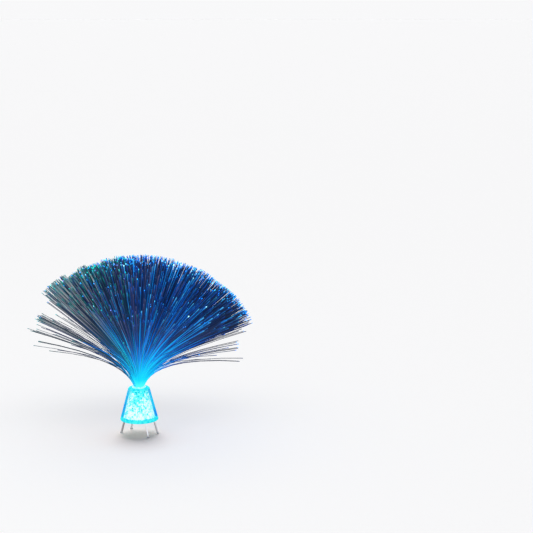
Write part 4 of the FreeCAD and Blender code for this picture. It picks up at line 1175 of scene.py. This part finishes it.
def fibre_map(master):
    """For each corner of the master's faces, its place across and along the fibre."""
    corners = []
    for face in master.data.polygons:
        middle = math.atan2(face.center.y, face.center.x)
        for corner in face.vertices:
            place = master.data.vertices[corner].co
            if abs(face.normal.z) > 0.9:
                along = place.z + place.y * END_SPREAD - END_INSET
                corners.append((place.x / 3, min(1.0, max(0.0, along))))
            else:
                turn = (math.atan2(place.y, place.x) - middle + math.pi) % math.tau - math.pi
                corners.append(((middle + turn) / math.tau, place.z))
    return np.array(corners)


def plant_spray():
    """All fibres, in one piece for each zone. They are clear, so they cast no shadow of their own."""
    draw = random.Random(37)
    master = fibre_master()
    local = points_of(master)
    corner_map = fibre_map(master)
    finishes = [fibre_finish(kind) for kind in KINDS]
    zones = {zone: [] for zone in ZONES}
    for start, azimuth, lean, droop, length, zone in [*dome_plan(draw), *stray_plan(draw)]:
        kind = kind_of(azimuth, lean, draw)
        column = map_column(kind, tip_is_lit(azimuth, lean, draw), draw.random())
        line = fibre_line(start, azimuth, lean, droop, length, draw.gauss(0, SWAY))
        points = laid_along(local, *line, STOUT_KINDS.get(kind, 1.0)) * MM
        zones[zone].append((points, KIND_NAMES.index(kind), column))
    for zone, fibres in zones.items():
        shapes, kinds, columns = zip(*fibres)
        piece = copies(f"spray_{zone}", master, shapes)
        for finish in finishes:
            piece.data.materials.append(finish)
        piece.data.polygons.foreach_set("material_index", np.repeat(kinds, len(master.data.polygons)))
        layer = piece.data.uv_layers.new(name=MAP_NAME)
        laid = np.concatenate([corner_map * (MAP_WIDTH, 1) + (column, 0) for column in columns])
        layer.data.foreach_set("uv", laid.astype(np.float32).ravel())
        slot = "grey_fibre" if zone == "strays" else "light_fibre"
        piece.visible_shadow = False
        placed(smooth(piece, 60), "spray", slot, None, ZONES[zone])
    bpy.data.objects.remove(master)


plant_spray()

# %% [markdown]
# ## Finishes of the imported pieces
#
# The base plate with its door and switch, and everything inside, already have their true shape. They only
# need their finish. The white mouldings get a little painted cyan glow, and the tube and the light cup a
# stronger one, because the lights sit right above them.

# %% Dress the imported nodes
def dress():
    white = painted_glow_moulding("white_moulding", (0.78, 0.84, 0.86))
    glowing_tube = moulded("lit_tube", (0.3, 0.6, 0.66), glow=(0.02, 0.55, 0.68))
    black = moulded("black_moulding", (0.018, 0.018, 0.02), 0.38)
    nickel = plated("nickel_sheet", (0.66, 0.63, 0.57), 0.25)
    zinc = plated("zinc_pin", (0.62, 0.63, 0.65), 0.3)
    finishes = {
        "base_plate": white, "battery_door": white, "light_cup": glowing_tube, "battery_tube": glowing_tube,
        "diffuser": lit_ring("lit_diffuser", (0.5, 0.7, 0.75), (0.3, 0.9, 1.0)),
        "hinge_pin": zinc, "top_contacts": nickel, "door_contacts": nickel, "side_contact": nickel,
        "switch_terminals": nickel, "switch_body": black, "switch_knob": black, "control_chip": black,
        "resistors": black, "led_board": circuit(), "colour_leds": lit_lens(), "lead_wires": sleeve_finish(),
        "fibre_root": root_finish(), "cell_1": cell_finish(),
    }
    finishes.update(ring_board=finishes["led_board"], ring_leds=finishes["colour_leds"],
                    cell_2=finishes["cell_1"], cell_3=finishes["cell_1"])
    for name, finish in finishes.items():
        piece = nodes[name]
        if not piece.material_slots:
            piece.data.materials.append(finish)
        for material_slot in piece.material_slots:
            material_slot.material = finish
    print(len(finishes), "packed pieces dressed")


dress()
